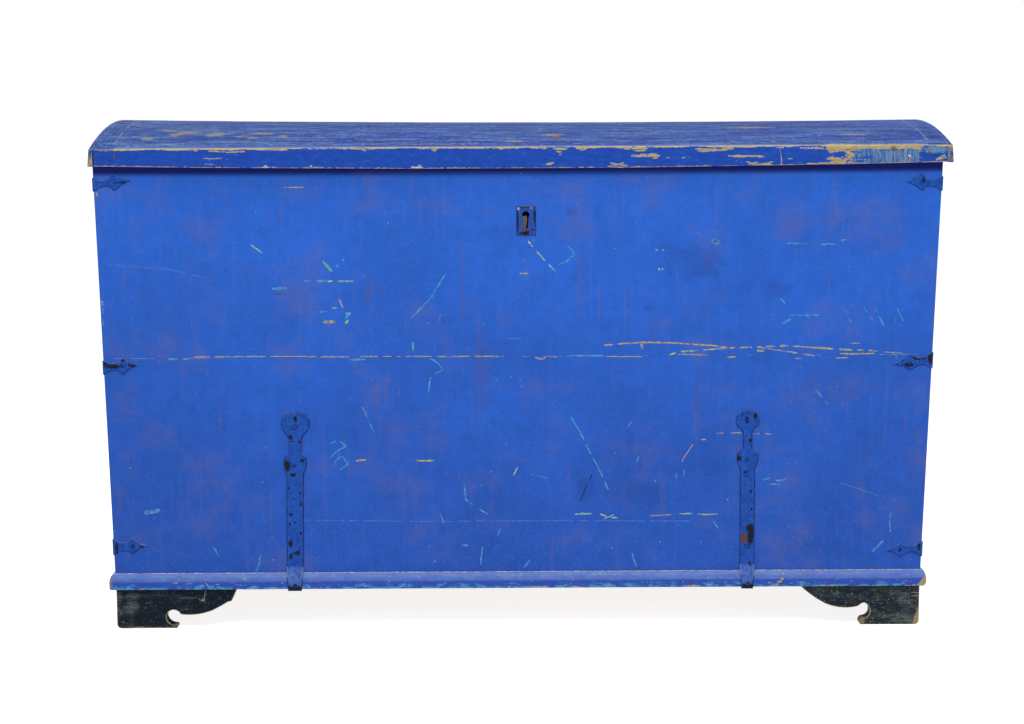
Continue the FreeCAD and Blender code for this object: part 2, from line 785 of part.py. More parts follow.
def lid_staple(hollow):
    """Iron tongue with an eye for the bolt, on a foot plate inside the lid."""
    tongue = box(KEY_X - 2.5, KEY_X + 2.5, STAPLE_Y0, STAPLE_Y1, STAPLE_LOW, 717.0)
    eye = box(
        KEY_X - 5,
        KEY_X + 5,
        STAPLE_Y0 + 2.4,
        STAPLE_Y1 - 2.4,
        BOLT_LOW - 2.0,
        BOLT_HIGH + 2.5,
    )
    foot = box(KEY_X - 24, KEY_X + 24, STAPLE_Y0 - 5, STAPLE_Y1 + 5, 715.5, 745.0)
    return tongue.cut(eye).fuse(foot.common(hollow)).removeSplitter()


def escutcheon():
    plate = box(KEY_X - 14.1, KEY_X + 15.3, BODY_FRONT - IRON, BODY_FRONT, 604.5, 649.0)
    return plate.cut(keyhole(BODY_FRONT - 3, BODY_FRONT + 1))


# ---------------------------------------------------------------- till
def till_pieces():
    """Small lidded box across the left end, its lid turning on wooden pintles."""
    front_y = BODY_FRONT + BOARD
    back_y = BODY_BACK - BOARD
    wall_x = end_x(-1, TILL_TOP, BOARD) + TILL_WIDTH
    outline = [
        (wall_x, TILL_BOTTOM),
        (wall_x + TILL_BOARD, TILL_BOTTOM),
        (wall_x + TILL_BOARD, TILL_TOP),
        (wall_x, TILL_TOP),
    ]
    wall = polygon_xz(outline, front_y, back_y)
    floor_top = TILL_BOTTOM + TILL_BOARD
    floor = polygon_xz(
        [
            (end_x(-1, TILL_BOTTOM, BOARD), TILL_BOTTOM),
            (wall_x, TILL_BOTTOM),
            (wall_x, floor_top),
            (end_x(-1, floor_top, BOARD), floor_top),
        ],
        front_y,
        back_y,
    )
    pivot_x = end_x(-1, TILL_TOP, BOARD) + 9.0
    pivot_z = TILL_TOP + 0.6 + TILL_BOARD / 2.0
    leaf = box(
        pivot_x - 5.0,
        wall_x + TILL_BOARD + 4.0,
        front_y + 1.0,
        back_y - 1.0,
        TILL_TOP + 0.6,
        TILL_TOP + 0.6 + TILL_BOARD,
    )
    pintles = []
    sockets = []
    for y, way in ((front_y, -1), (back_y, 1)):
        start = V(pivot_x, y - way * 6.0, pivot_z)
        end = V(pivot_x, y + way * 9.0, pivot_z)
        pintles.append(rod(TILL_PINTLE, start, end))
        socket_end = V(pivot_x, y + way * 10.0, pivot_z)
        sockets.append(rod(TILL_PINTLE + 0.08, V(pivot_x, y, pivot_z), socket_end))
    leaf = leaf.fuse(pintles).removeSplitter()
    return wall, floor, leaf, sockets, (pivot_x, pivot_z)


# ---------------------------------------------------------------- assembly
parts = {}

strap_left = strap_outline(
    -350.2, 0.0155, 337.4, (22.1, 19.4), (9.8, 39.0, 67.0), (17.8, 83.0), 12.9, 4
)
strap_right = strap_outline(
    345.2, 0.0, 337.2, (18.3, 18.5), (7.0, 33.0, 63.0), (16.7, 77.6), 11.3, 5
)
strap_spots = (
    (-347.2, 312.9),
    (-348.6, 255.2),
    (-349.0, 117.8),
    (344.2, 318.2),
    (344.0, 259.6),
    (343.2, 235.3),
    (346.4, 123.8),
)
strap_nails = []
for x, z in strap_spots:
    strap_nails.append(nail(V(x, BODY_FRONT - STRAP, z), V(0, -1, 0), head=3.6))
for x in (-349.6, 345.2):
    y = BODY_FRONT - MOULDING_OUT - 0.4 - STRAP
    strap_nails.append(nail(V(x, y, 68.2), V(0, -1, 0), head=3.6))
    for back in (46.0, 96.0):
        spot = V(x, BODY_FRONT + back, BODY_BOTTOM - STRAP)
        strap_nails.append(nail(spot, V(0, 0, -1), head=3.6, length=14.0))

# length, half heights of root, waist and lobe; lean of the front leaf; lower lobe's ratio
corner_places = (
    ("corner_iron_left_top", -1, 684.5, (57.4, 10.3, 4.6, 13.1), 0.110, 0.98),
    ("corner_iron_left_middle", -1, 406.0, (52.6, 10.8, 5.6, 12.4), 0.077, 1.06),
    ("corner_iron_left_bottom", -1, 128.0, (50.9, 12.6, 6.2, 12.8), 0.035, 0.98),
    ("corner_iron_right_top", 1, 679.4, (54.4, 10.8, 5.2, 13.8), 0.062, 0.90),
    ("corner_iron_right_middle", 1, 410.8, (59.8, 12.1, 5.6, 13.0), -0.097, 0.90),
    ("corner_iron_right_bottom", 1, 118.7, (57.4, 11.8, 4.6, 9.6), -0.030, 1.15),
)
corner_nails = []
corner_irons = {}
for name, side, height, sizes, lean, drop in corner_places:
    corner_irons[name] = corner_iron(side, height, sizes, lean, drop)
    corner_nails += corner_iron_nails(side, height, sizes[0], lean)
for name, iron in corner_irons.items():
    parts[name] = cut_all(iron, corner_nails)

escutcheon_nails = []
for x, z in ((-3.7, 644.7), (15.5, 645.5), (-0.1, 608.5), (17.3, 613.2)):
    spot = V(x, BODY_FRONT - IRON, z)
    escutcheon_nails.append(nail(spot, V(0, -1, 0), head=2.5, dome=1.4, shank=0.9))

till_wall, till_floor, till_lid, till_sockets, till_pivot = till_pieces()

hinges = [hinge(x) for x in HINGE_X]
hinge_case_nails = []
hinge_lid_nails = []
for lid_leaf, case_leaf, pin, case_nails, lid_nails in hinges:
    hinge_case_nails += case_nails
    hinge_lid_nails += lid_nails
rim_notches = []
for x in HINGE_X:
    half = HINGE_TONGUE / 2.0 + 1.0
    rim_notches.append(
        box(x - half, x + half, BODY_BACK - BOARD - 5, BODY_BACK + 5, BODY_TOP - 3.4, BODY_TOP + 1)
    )

wood_holes = strap_nails + corner_nails + escutcheon_nails + hinge_case_nails

front_upper = long_board(SEAM, BODY_TOP, BODY_FRONT, BODY_FRONT + BOARD)
front_upper = front_upper.cut(keyhole(BODY_FRONT - 1, BODY_FRONT + BOARD + 1))
parts["front_board_upper"] = cut_all(front_upper, wood_holes + till_sockets)
front_lower = long_board(BODY_BOTTOM, SEAM, BODY_FRONT, BODY_FRONT + BOARD)
parts["front_board_lower"] = cut_all(front_lower, wood_holes)
back_upper = long_board(SEAM, BODY_TOP, BODY_BACK - BOARD, BODY_BACK)
parts["back_board_upper"] = cut_all(back_upper.cut(rim_notches), wood_holes + till_sockets)
parts["back_board_lower"] = long_board(BODY_BOTTOM, SEAM, BODY_BACK - BOARD, BODY_BACK)
for name, side in (("left", -1), ("right", 1)):
    lower = end_board(side, BODY_BOTTOM, SEAM)
    upper = end_board(side, SEAM, BODY_TOP)
    parts["end_board_%s_lower" % name] = cut_all(lower, wood_holes)
    parts["end_board_%s_upper" % name] = cut_all(upper, wood_holes)
for name, board in zip(("front", "middle", "rear"), bottom_boards()):
    parts["bottom_board_" + name] = cut_all(board, strap_nails)

parts["plinth_moulding_front"] = cut_all(moulding_front(), strap_nails)
parts["plinth_moulding_left"] = moulding_end(-1)
parts["plinth_moulding_right"] = moulding_end(1)

foot_blocks = []
for name, side in (("left", -1), ("right", 1)):
    front, end_front, end_rear, rear, blocks = foot_pieces(side)
    parts["foot_%s_front_bracket" % name] = front
    parts["foot_%s_end_bracket_front" % name] = end_front
    parts["foot_%s_end_bracket_rear" % name] = end_rear
    parts["foot_%s_rear_board" % name] = rear
    foot_blocks += blocks
parts["foot_glue_blocks"] = group(foot_blocks)

parts["strap_iron_left"] = strap_iron(strap_left, strap_nails)
parts["strap_iron_right"] = strap_iron(strap_right, strap_nails)
parts["strap_nails"] = group(strap_nails)
parts["corner_iron_nails"] = group(corner_nails)
parts["escutcheon_plate"] = cut_all(escutcheon(), escutcheon_nails)
parts["escutcheon_nails"] = group(escutcheon_nails)

parts["lock_case"] = lock_case()
parts["lock_bolt"] = lock_bolt()

lid_boards, lid_clamps, lid_ends, lid_rail = lid_pieces()
staple = lid_staple(dome(600.0, LID_BOARD))
staple_nails = []
for dx in (-17.0, 17.0):
    spot = V(KEY_X + dx, (STAPLE_Y0 + STAPLE_Y1) / 2.0, 715.5)
    staple_nails.append(nail(spot, V(0, 0, -1), head=3.2, dome=1.2, length=18.0))
for name, board in zip(("front", "middle", "rear"), lid_boards):
    parts["lid_board_" + name] = cut_all(board, hinge_lid_nails + staple_nails)
for name, clamp, end in zip(("left", "right"), lid_clamps, lid_ends):
    parts["lid_clamp_" + name] = clamp
    parts["lid_end_moulding_" + name] = end
parts["lid_front_rail"] = lid_rail
parts["lid_staple"] = cut_all(staple, staple_nails)
parts["lid_staple_nails"] = group(staple_nails)

for name, pieces in zip(("left", "right"), hinges):
    lid_leaf, case_leaf, pin, case_nails, lid_nails = pieces
    parts["hinge_%s_lid_leaf" % name] = cut_all(lid_leaf, hinge_lid_nails)
    parts["hinge_%s_case_leaf" % name] = cut_all(case_leaf, hinge_case_nails)
    parts["hinge_%s_pin" % name] = pin
parts["hinge_case_nails"] = group(hinge_case_nails)
parts["hinge_lid_nails"] = group(hinge_lid_nails)

parts["till_wall"] = till_wall
parts["till_floor"] = till_floor
parts["till_lid"] = till_lid

# the origin is on the floor under the middle of the chest's extents
bounds = FreeCAD.BoundBox()
for shape in parts.values():
    bounds.add(shape.optimalBoundingBox(False, False))
centre = V((bounds.XMin + bounds.XMax) / 2.0, (bounds.YMin + bounds.YMax) / 2.0, bounds.ZMin)
print("extents", bounds.XLength, bounds.YLength, bounds.ZLength)
print("moved by", -centre.x, -centre.y, -centre.z)
print("lid axis y, z", HINGE_AXIS_Y - centre.y, HINGE_AXIS_Z - centre.z)
print("till axis x, z", till_pivot[0] - centre.x, till_pivot[1] - centre.z)
for name, shape in parts.items():
    shape.translate(centre * -1.0)
    if not shape.isValid() or not shape.Solids:
        raise ValueError("not a valid solid: " + name)
    shape.exportStep(os.path.join("parts", name + ".step"))
print(len(parts), "nodes")
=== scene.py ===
"""A blue-painted blanket chest: its boards, mouldings, feet, ironwork and lid, and a plain studio."""

import json
import math
import random

import bmesh
import bpy
from bpy.props import FloatProperty, FloatVectorProperty, IntProperty, PointerProperty
from mathutils import Matrix, Vector

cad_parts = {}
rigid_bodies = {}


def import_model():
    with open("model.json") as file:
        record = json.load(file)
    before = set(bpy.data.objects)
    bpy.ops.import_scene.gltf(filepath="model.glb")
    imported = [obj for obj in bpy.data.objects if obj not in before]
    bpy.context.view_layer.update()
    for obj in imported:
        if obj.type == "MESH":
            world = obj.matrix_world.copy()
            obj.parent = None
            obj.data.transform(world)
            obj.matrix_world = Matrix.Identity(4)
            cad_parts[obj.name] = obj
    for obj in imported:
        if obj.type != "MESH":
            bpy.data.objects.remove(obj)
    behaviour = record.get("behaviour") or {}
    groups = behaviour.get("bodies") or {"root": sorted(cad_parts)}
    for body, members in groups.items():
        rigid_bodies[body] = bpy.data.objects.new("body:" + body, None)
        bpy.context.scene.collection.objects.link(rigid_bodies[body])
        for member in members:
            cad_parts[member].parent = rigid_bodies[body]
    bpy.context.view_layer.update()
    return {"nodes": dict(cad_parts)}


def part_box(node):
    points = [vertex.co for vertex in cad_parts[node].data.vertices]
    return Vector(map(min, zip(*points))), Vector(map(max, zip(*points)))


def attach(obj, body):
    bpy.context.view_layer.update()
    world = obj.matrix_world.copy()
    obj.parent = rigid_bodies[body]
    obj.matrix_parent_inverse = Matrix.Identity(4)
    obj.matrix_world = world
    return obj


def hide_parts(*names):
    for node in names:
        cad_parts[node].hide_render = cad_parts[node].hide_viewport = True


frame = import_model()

bl_info = {
    "name": "Blanket Chest",
    "version": (1, 0, 0),
    "blender": (4, 5, 0),
    "location": "View3D > Sidebar > Chest",
    "description": "Dresses the joined frame of a painted blanket chest",
    "category": "Object",
}

MM = 0.001
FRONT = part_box("front_board_upper")[0].y
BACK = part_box("back_board_upper")[1].y
LID_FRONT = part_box("lid_front_rail")[0].y
MOULDING_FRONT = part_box("plinth_moulding_front")[0].y
RAIL_LOW_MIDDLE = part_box("lid_front_rail")[0].z
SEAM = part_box("front_board_upper")[0].z
BODY_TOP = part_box("front_board_upper")[1].z
BODY_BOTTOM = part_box("front_board_lower")[0].z
MOULDING_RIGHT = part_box("plinth_moulding_right")[1].x
CLAMP_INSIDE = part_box("lid_clamp_left")[1].z
PLATE_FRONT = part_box("escutcheon_plate")[0].y
EDGE_HEIGHT = 0.714            # height at which the case's side edges were measured
EDGE_LEFT = (-0.6465, 0.0307)  # place of the left edge there, and its lean
EDGE_RIGHT = (0.6381, 0.0409)
KEYHOLE_X, KEYHOLE_REACH = 0.0074, 0.0085  # middle of the keyhole, and how far its sides are looked for
KEYHOLE_LOW, KEYHOLE_HIGH = 0.611, 0.644
TONGUE_X, TONGUE_PIVOT, TONGUE_Z = 0.0062, 0.0052, 0.6220
TONGUE_SIZE = (0.0066, 0.0011, 0.0240)
# Height on the tongue: the share of its width that is left there, and how far it bends aside and forward.
TONGUE_TAPER = {
    0.610: (0.22, -0.0004, -0.0026), 0.614: (0.45, -0.0002, -0.0020), 0.618: (0.66, 0.0, -0.0013),
    0.622: (0.84, 0.0, -0.0008), 0.626: (0.95, 0.0, -0.0004), 0.630: (1.0, 0.0, 0.0),
    0.634: (0.8, 0.0, 0.0004),
}
RAIL_CREST = 0.7375            # above this the rail's front arris is rounded most
RAIL_FOOT = 0.7142             # below this it has its lower arris
BEAD_FRONT = LID_FRONT + 0.0215  # scribed line behind the rail, and the two at each end
BEAD_OUTER, BEAD_INNER = 0.6345, 0.6285
BEAD_END = 0.6355              # how far out the line behind the rail runs
UPPER = 0.7                    # a face whose normal rises more than this is an upper one
KNOCK_SLOPE = (1.0, 0.0, -0.7)  # slope of the moulding's knocked-off corner
SAME = 0.00001                 # points this near each other are one
CLOSE = 0.0006                 # this near a face counts as on it
JOINT_REACH = 0.035            # how far the dovetails reach in from a corner
SHORTEST_ROUND = 0.0009        # forged edges shorter than this stay sharp
SMOOTH_BELOW = math.radians(24)
ONE_FLAT = math.radians(0.3)


# ---------------------------------------------------------------- what a user would change
def paint(title, text, red, green, blue):
    """A colour setting, written in everyday 0-255 values and kept as light values."""
    values = []
    for part in (red, green, blue):
        share = part / 255.0
        values.append(share / 12.92 if share <= 0.04045 else ((share + 0.055) / 1.055) ** 2.4)
    return FloatVectorProperty(
        name=title, description=text, subtype="COLOR", size=4, min=0.0, max=1.0, default=values + [1.0]
    )


def length(title, text, millimetres, low=0.0, high=100.0):
    """A length setting, written in millimetres."""
    return FloatProperty(
        name=title, description=text, default=millimetres * MM, min=low * MM, max=high * MM,
        subtype="DISTANCE", unit="LENGTH", precision=5,
    )


class ChestPaints(bpy.types.PropertyGroup):
    """Colours of the paint, wood and iron."""

    case_high: paint("Case blue, upper", "Blue of the upper half of the case", 37, 97, 202)
    case_low: paint("Case blue, lower", "Deeper blue towards the plinth", 34, 84, 180)
    case_shade: paint("Case blue, stained", "Blue where grease and damp have darkened it", 30, 52, 116)
    case_rub: paint("Case blue, rubbed", "Faint reddish grey of rubbed streaks", 98, 98, 150)
    rail_blue: paint("Rail blue", "Blue of the lid's front rail", 22, 70, 168)
    lid_blue: paint("Lid blue", "Duller blue of the lid's top", 22, 54, 142)
    lid_pale: paint("Lid blue, worn", "Thin greyed paint on the lid's top", 72, 104, 164)
    lid_green: paint("Lid, verdigris", "Green grey of the lid's damp spots", 98, 136, 150)
    lid_dirt: paint("Lid scuffs", "Grey-brown patches on the lid's top", 122, 116, 110)
    moulding_blue: paint("Moulding blue", "Blue of the plinth moulding", 36, 76, 172)
    # Worn paint and painted highlight: the paler blue laid on the moulding's upward-facing shoulder.
    moulding_pale: paint("Moulding blue, worn", "Paler violet blue of the moulding's shoulder", 92, 120, 194)
    # Painted shadow: the deep blue laid on the case just under the lid's rail.
    rail_shadow_blue: paint("Case blue, unfaded", "Deep blue where the lid's rail kept the light off", 1, 8, 104)
    dust: paint("Dust", "Grey dust caught in the paint", 132, 146, 172)
    plate_blue: paint("Painted lock plate", "Greyed blue paint over the lock plate", 40, 76, 160)
    turquoise: paint("Old turquoise", "Earlier coat showing in scratches", 78, 156, 196)
    yellow: paint("Old yellow", "Yellow-green of scratched undercoat", 172, 188, 110)
    green: paint("Old green", "Green of scratched undercoat", 104, 176, 134)
    orange: paint("Orange scratch", "Olive-orange of fresh scratches", 166, 156, 100)
    faint: paint("Faint scratch", "Pale blue of scratches that stay in the paint", 76, 118, 196)
    chip_wood: paint("Chipped wood", "Tan wood bared by chips", 176, 158, 112)
    chip_pale: paint("Pale chip", "Whitish ground left on bare wood", 214, 204, 172)
    chip_brown: paint("Brown chip", "Old brown in cracks and chips", 96, 70, 50)
    wood_light: paint("Pine, light", "Early wood of unpainted pine", 196, 162, 116)
    wood_dark: paint("Pine, dark", "Late wood of unpainted pine", 142, 104, 66)
    foot_black: paint("Foot black", "Blue-black paint of the feet", 12, 24, 36)
    foot_scuff: paint("Foot scuffs", "Whitish scuffs on the feet", 116, 128, 126)
    foot_edge: paint("Foot edges", "Dirty bare wood on the feet's sawn edges", 170, 152, 114)
    iron_rub: paint("Iron, rubbed", "Pale blue of the straps where they cross the moulding", 84, 108, 168)
    iron_blue: paint("Painted iron", "Blue paint over forged iron", 28, 80, 174)
    iron_dark: paint("Bare iron", "Dark forged iron", 12, 14, 18)
    tongue: paint("Keyhole tongue", "Grey-brown tongue hanging in the keyhole", 92, 82, 68)
    iron_rust: paint("Rust", "Rust on the iron", 92, 58, 44)


class ChestWear(bpy.types.PropertyGroup):
    """Sizes of worn edges, scratches and hammer marks."""

    board_round: length("Board edge", "Rounding of the case boards' edges", 1.0, 0.2, 4)
    rail_round: length("Rail edge", "Rounding of the lid rail's edges", 1.7, 0.2, 4)
    foot_round: length("Foot edge", "Rounding of the feet's sawn edges", 1.1, 0.2, 4)
    iron_round: length("Iron edge", "Rounding of the forged irons' edges", 0.9, 0.1, 1)
    end_round: length("Moulding ends", "Rounding of the mouldings' knocked ends", 3.6, 0.2, 6)
    hammer: length("Hammer marks", "How far the smith's hammer left the iron uneven", 0.35, 0, 1)
    bead: length("Bead depth", "Depth of the scribed lines round the lid's top", 0.9, 0, 2)
    scratch_rise: FloatProperty(
        name="Scratch relief", description="Relief of a scratch's lip, as a share of its width",
        default=0.1, min=0.02, max=0.5, subtype="FACTOR",
    )
    seed: IntProperty(name="Seed", description="Seed of the marks' unevenness", default=17, min=0)


class ChestStudio(bpy.types.PropertyGroup):
    """Camera and light."""

    camera_place: FloatVectorProperty(
        name="Camera place", description="Where the camera stands", size=3, subtype="TRANSLATION",
        unit="LENGTH", default=(-0.014545, -4.02225, 0.857267),
    )
    camera_dip: FloatProperty(
        name="Camera dip", description="How far the camera looks down", subtype="ANGLE",
        default=math.radians(6.8497),
    )
    camera_lean: FloatProperty(
        name="Camera lean", description="Turn about the line of sight", subtype="ANGLE",
        default=math.radians(-0.3149),
    )
    camera_lens: FloatProperty(
        name="Focal length", description="Lens of the camera, in millimetres", default=86.27, min=10, max=300
    )
    key_power: FloatProperty(
        name="Key light", description="Power of the large lamp above the front, in watts", default=60, min=0
    )
    top_power: FloatProperty(
        name="Top light", description="Power of the lamp overhead, in watts", default=44, min=0
    )
    fill: FloatProperty(
        name="Fill", description="Strength of the light from all round", default=0.34, min=0, max=2
    )
    floor_glow: FloatProperty(
        name="Floor white", description="How much white the floor shows the camera",
        default=0.86, min=0, max=1,
    )


# ---------------------------------------------------------------- finishes
class Value:
    """A number or colour on its way through a finish; each sum with it adds a node."""

    def __init__(self, finish, socket):
        self.finish = finish
        self.socket = socket

    def __add__(self, other):
        return self.finish.work("ADD", self, other)

    def __sub__(self, other):
        return self.finish.work("SUBTRACT", self, other)

    def __mul__(self, other):
        return self.finish.work("MULTIPLY", self, other)

    def __abs__(self):
        return self.finish.work("ABSOLUTE", self)

    def most(self, other):
        return self.finish.work("MAXIMUM", self, other)

    def rise(self, low, high, start=0.0, end=1.0):
        """Goes smoothly from start at low to end at high."""
        steps = dict(enumerate((self, low, high, start, end)))
        return self.finish.node("ShaderNodeMapRange", steps, interpolation_type="SMOOTHSTEP")

    def between(self, low, high, soft):
        """One between low and high, and nothing outside."""
        return self.rise(low - soft, low + soft) * self.rise(high - soft, high + soft, 1.0, 0.0)

    def stray(self, noise, reach):
        """Moved by the noise, up to half the reach either way."""
        return self + (noise * reach - reach / 2.0)


class Finish:
    """One material: the nodes that its methods add, and its own colour so far."""

    def __init__(self, name, roughness, specular, metallic=0.0):
        self.material = bpy.data.materials.new(name)
        self.material.use_nodes = True
        self.nodes = self.material.node_tree.nodes
        self.links = self.material.node_tree.links
        self.shader = self.nodes["Principled BSDF"]
        self.feed(self.shader, {"Roughness": roughness, "Metallic": metallic, "Specular IOR Level": specular})
        self.place = self.node("ShaderNodeTexCoord", {}, "Object")
        self.x, self.y, self.z = self.split(self.place)
        self.colour = None

    def feed(self, node, inputs):
        """Sets a node's inputs, each called by its name or place in the row."""
        for name, value in inputs.items():
            if isinstance(value, Value):
                self.links.new(value.socket, node.inputs[name])
            else:
                node.inputs[name].default_value = value

    def node(self, kind, inputs, output=0, **settings):
        """Adds a node with these settings and inputs, and gives back one of its outputs."""
        node = self.nodes.new(kind)
        for name, setting in settings.items():
            setattr(node, name, setting)
        self.feed(node, inputs)
        return Value(self, node.outputs[output])

    def work(self, operation, *values):
        return self.node("ShaderNodeMath", dict(enumerate(values)), operation=operation)

    def split(self, value):
        """The three parts of a place, a direction or a colour."""
        first = self.node("ShaderNodeSeparateXYZ", {0: value})
        return [Value(self, part) for part in first.socket.node.outputs]

    def map(self, scale, offset):
        """The place on the chest, with each axis stretched and moved."""
        return self.node("ShaderNodeMapping", {"Vector": self.place, "Scale": scale, "Location": offset})

    def noise(self, size, detail=2.0, coarse=0.5, offset=(0.0, 0.0, 0.0), twist=0.0):
        """Cloudy noise whose cells have this size, in metres, along each axis or along all three."""
        sizes = [size] * 3 if isinstance(size, float) else size
        return self.node("ShaderNodeTexNoise", {
            "Vector": self.map([1.0 / part for part in sizes], offset), "Scale": 1.0, "Detail": detail,
            "Roughness": coarse, "Distortion": twist,
        })

    def flecks(self, spacing, radius, share, offset=(0.0, 0.0, 0.0)):
        """Small round flecks: one to a cell of this spacing, in a share of the cells."""
        place = self.map([1.0 / spacing] * 3, offset)
        distance = self.node("ShaderNodeTexVoronoi", {"Vector": place, "Scale": 1.0}, "Distance")
        chance = self.split(Value(self, distance.socket.node.outputs["Color"]))[0]
        near = distance.rise(radius / spacing * 0.7, radius / spacing, 1.0, 0.0)
        return near * chance.rise(share, share + 0.01, 1.0, 0.0)

    def blot(self, centre, half, soft, ragged):
        """A soft ellipse round a centre, its rim uneven; an axis whose half size is None doesn't count."""
        scale = [0.0 if part is None else 1.0 / part for part in half]
        offset = [-middle * part for middle, part in zip(centre, scale)]
        place = self.map(scale, offset)
        reach = self.node("ShaderNodeVectorMath", {0: place}, "Value", operation="LENGTH")
        return reach.stray(ragged, 1.8).rise(1.0 - soft, 1.0 + soft, 1.0, 0.0)

    def blots(self, places, soft, ragged):
        """Several blots, each a centre and its half sizes."""
        total, *others = [self.blot(centre, half, soft, ragged) for centre, half in places]
        for other in others:
            total = total.most(other)
        return total

    def blend(self, share, first, second):
        """A colour that goes from first to second."""
        return self.node("ShaderNodeMix", {0: share, 6: first, 7: second}, 2, data_type="RGBA")

    def tone(self, colour, value, low, high):
        """The colour, darker or lighter as value goes from 0.3 to 0.7."""
        start = colour if isinstance(colour, Value) else tuple(colour)[:3]
        steps = {0: start, "Scale": value.rise(0.3, 0.7, low, high)}
        return self.node("ShaderNodeVectorMath", steps, operation="SCALE")

    def over(self, share, tint):
        """Lays a tint over the finish's own colour, by a share."""
        self.colour = self.blend(share, self.colour, tint)

    def shade(self, value, low, high):
        """Makes the finish's own colour darker or lighter."""
        self.colour = self.tone(self.colour, value, low, high)

    def done(self, relief, height, strength, roughness=None):
        """Joins the colour, the relief and, where it varies, the roughness to the shader."""
        bump = self.node("ShaderNodeBump", {"Strength": strength, "Distance": height, "Height": relief})
        self.feed(self.shader, {"Base Color": self.colour, "Normal": bump})
        if roughness is not None:
            self.feed(self.shader, {"Roughness": roughness})


def on_front(rows, depth):
    """Centres and half sizes of spots on the front, from their x, z, half width and half height in mm."""
    return [((x * MM, FRONT, z * MM), (wide * MM, depth, tall * MM)) for x, z, wide, tall in rows]


def brushed(finish, strokes=(0.006, 0.006, 0.16), grain=(0.16, 0.03, 0.0022), depth=0.05):
    """Brush strokes up and down and the wood's grain lying across; gives back their relief."""
    stroke = finish.noise(strokes, 3.0, 0.6, twist=0.4)
    ridge = finish.noise(grain, 2.0, 0.5, (3.0, 1.0, 7.0), twist=0.3)
    finish.shade(stroke, 1.0 - depth, 1.0 + depth)
    finish.shade(ridge, 1.0 - depth * 0.6, 1.0 + depth * 0.6)
    return stroke * 0.6 + ridge


def case_blue(finish, tint):
    """Milk-smooth blue paint, mottled by handling, with dust, damp spots and small flecks, and a painted
    shadow under the lid's rail.
    """
    cloud = finish.noise((0.22, 0.22, 0.16), 3.0, 0.55)
    patch = finish.noise((0.07, 0.07, 0.06), 4.0, 0.62, (9.0, 2.0, 4.0))
    mottle = finish.noise(0.02, 5.0, 0.68, (0.0, 7.0, 7.0))
    grit = finish.noise(0.0045, 2.0, 0.6, (5.0, 1.0, 2.0))
    drip = finish.noise((0.01, 0.01, 0.14), 3.0, 0.6, (2.0, 2.0, 0.0))
    level = finish.z.stray(cloud, 0.3)
    finish.colour = finish.blend(level.rise(0.08, 0.62), tint.case_low, tint.case_high)
    relief = brushed(finish, depth=0.022)
    finish.shade(cloud, 0.94, 1.05)
    finish.shade(mottle, 0.93, 1.06)
    finish.over(patch.rise(0.48, 0.74, 0.02, 0.34), tint.case_rub)
    finish.over(patch.rise(0.24, 0.42, 0.14, 0.0), tint.case_shade)
    finish.over(drip.rise(0.54, 0.74, 0.0, 0.26), tint.case_rub)
    finish.over(grit.rise(0.62, 0.76, 0.0, 0.2), tint.dust)
    finish.over(grit.rise(0.26, 0.38, 0.28, 0.0), tint.case_shade)
    for places, strength, stain in ((STAINS, 0.26, tint.case_shade), (RUBS, 0.16, tint.chip_brown)):
        marks = finish.blots(on_front(places, 0.05), 0.7, mottle)
        finish.over(marks * strength, stain)
    # Painted shadow under the lid's rail: the case's top band is laid deep blue where the rail's overhang
    # shades it.
    kept = (finish.z + mottle * 0.003).rise(BODY_TOP - 0.019, BODY_TOP - 0.0085)
    front = finish.y.rise(FRONT + 0.004, FRONT + 0.006, 1.0, 0.0)
    finish.over(kept * front * 0.94, tint.rail_shadow_blue)
    low = finish.z.rise(0.088, 0.3, 1.0, 0.0)
    specks = finish.noise(0.0035, 3.0, 0.7, (1.0, 8.0, 3.0))
    finish.over(low * specks.rise(0.6, 0.68, 0.0, 0.5), tint.faint)
    for spacing, radius, share, strength, fleck in (
        (0.024, 0.0012, 0.20, 0.80, tint.turquoise), (0.040, 0.0009, 0.16, 0.6, tint.chip_pale),
        (0.030, 0.0014, 0.22, 0.5, tint.case_shade), (0.050, 0.0012, 0.24, 0.65, tint.chip_brown),
    ):
        dots = finish.flecks(spacing, radius, share, (spacing * 90.0, radius * 900.0, share * 9.0))
        finish.over(dots * strength, fleck)
    roughness = patch.rise(0.3, 0.7, 0.6, 0.44)
    finish.done(relief + grit * 0.5, 0.0004, 0.35, roughness)


# Spots: across, up, half width and half height, in mm.
STAINS = (
    (77.5, 639.3, 9, 6), (265.3, 561, 38, 22), (194.1, 492.8, 7, 5), (386.9, 522.3, 20, 12),
    (186.8, 203.2, 30, 18), (96.3, 217.7, 12, 16),
)
RUBS = (
    (-89.8, 529.5, 4, 60), (90.1, 536.1, 5, 45), (-232.6, 524.1, 8, 20), (270, 360, 4, 50),
    (-60, 400, 12, 50),
)


def worn_edge(finish, tint):
    """Blue paint rubbed through to the wood along a board's edge."""
    coarse = finish.noise(0.03, 4.0, 0.65, (2.0, 4.0, 1.0))
    fine = finish.noise(0.006, 3.0, 0.6)
    finish.colour = finish.blend(finish.z.rise(0.1, 0.6), tint.case_low, tint.case_high)
    finish.shade(fine, 0.75, 1.05)
    through = coarse.rise(0.54, 0.6)
    ground = coarse.rise(0.5, 0.54)
    finish.over(ground * 0.6, tint.turquoise)
    finish.over(through, finish.tone(tint.chip_wood, fine, 0.7, 1.05))
    finish.done(fine, 0.0006, 0.5)


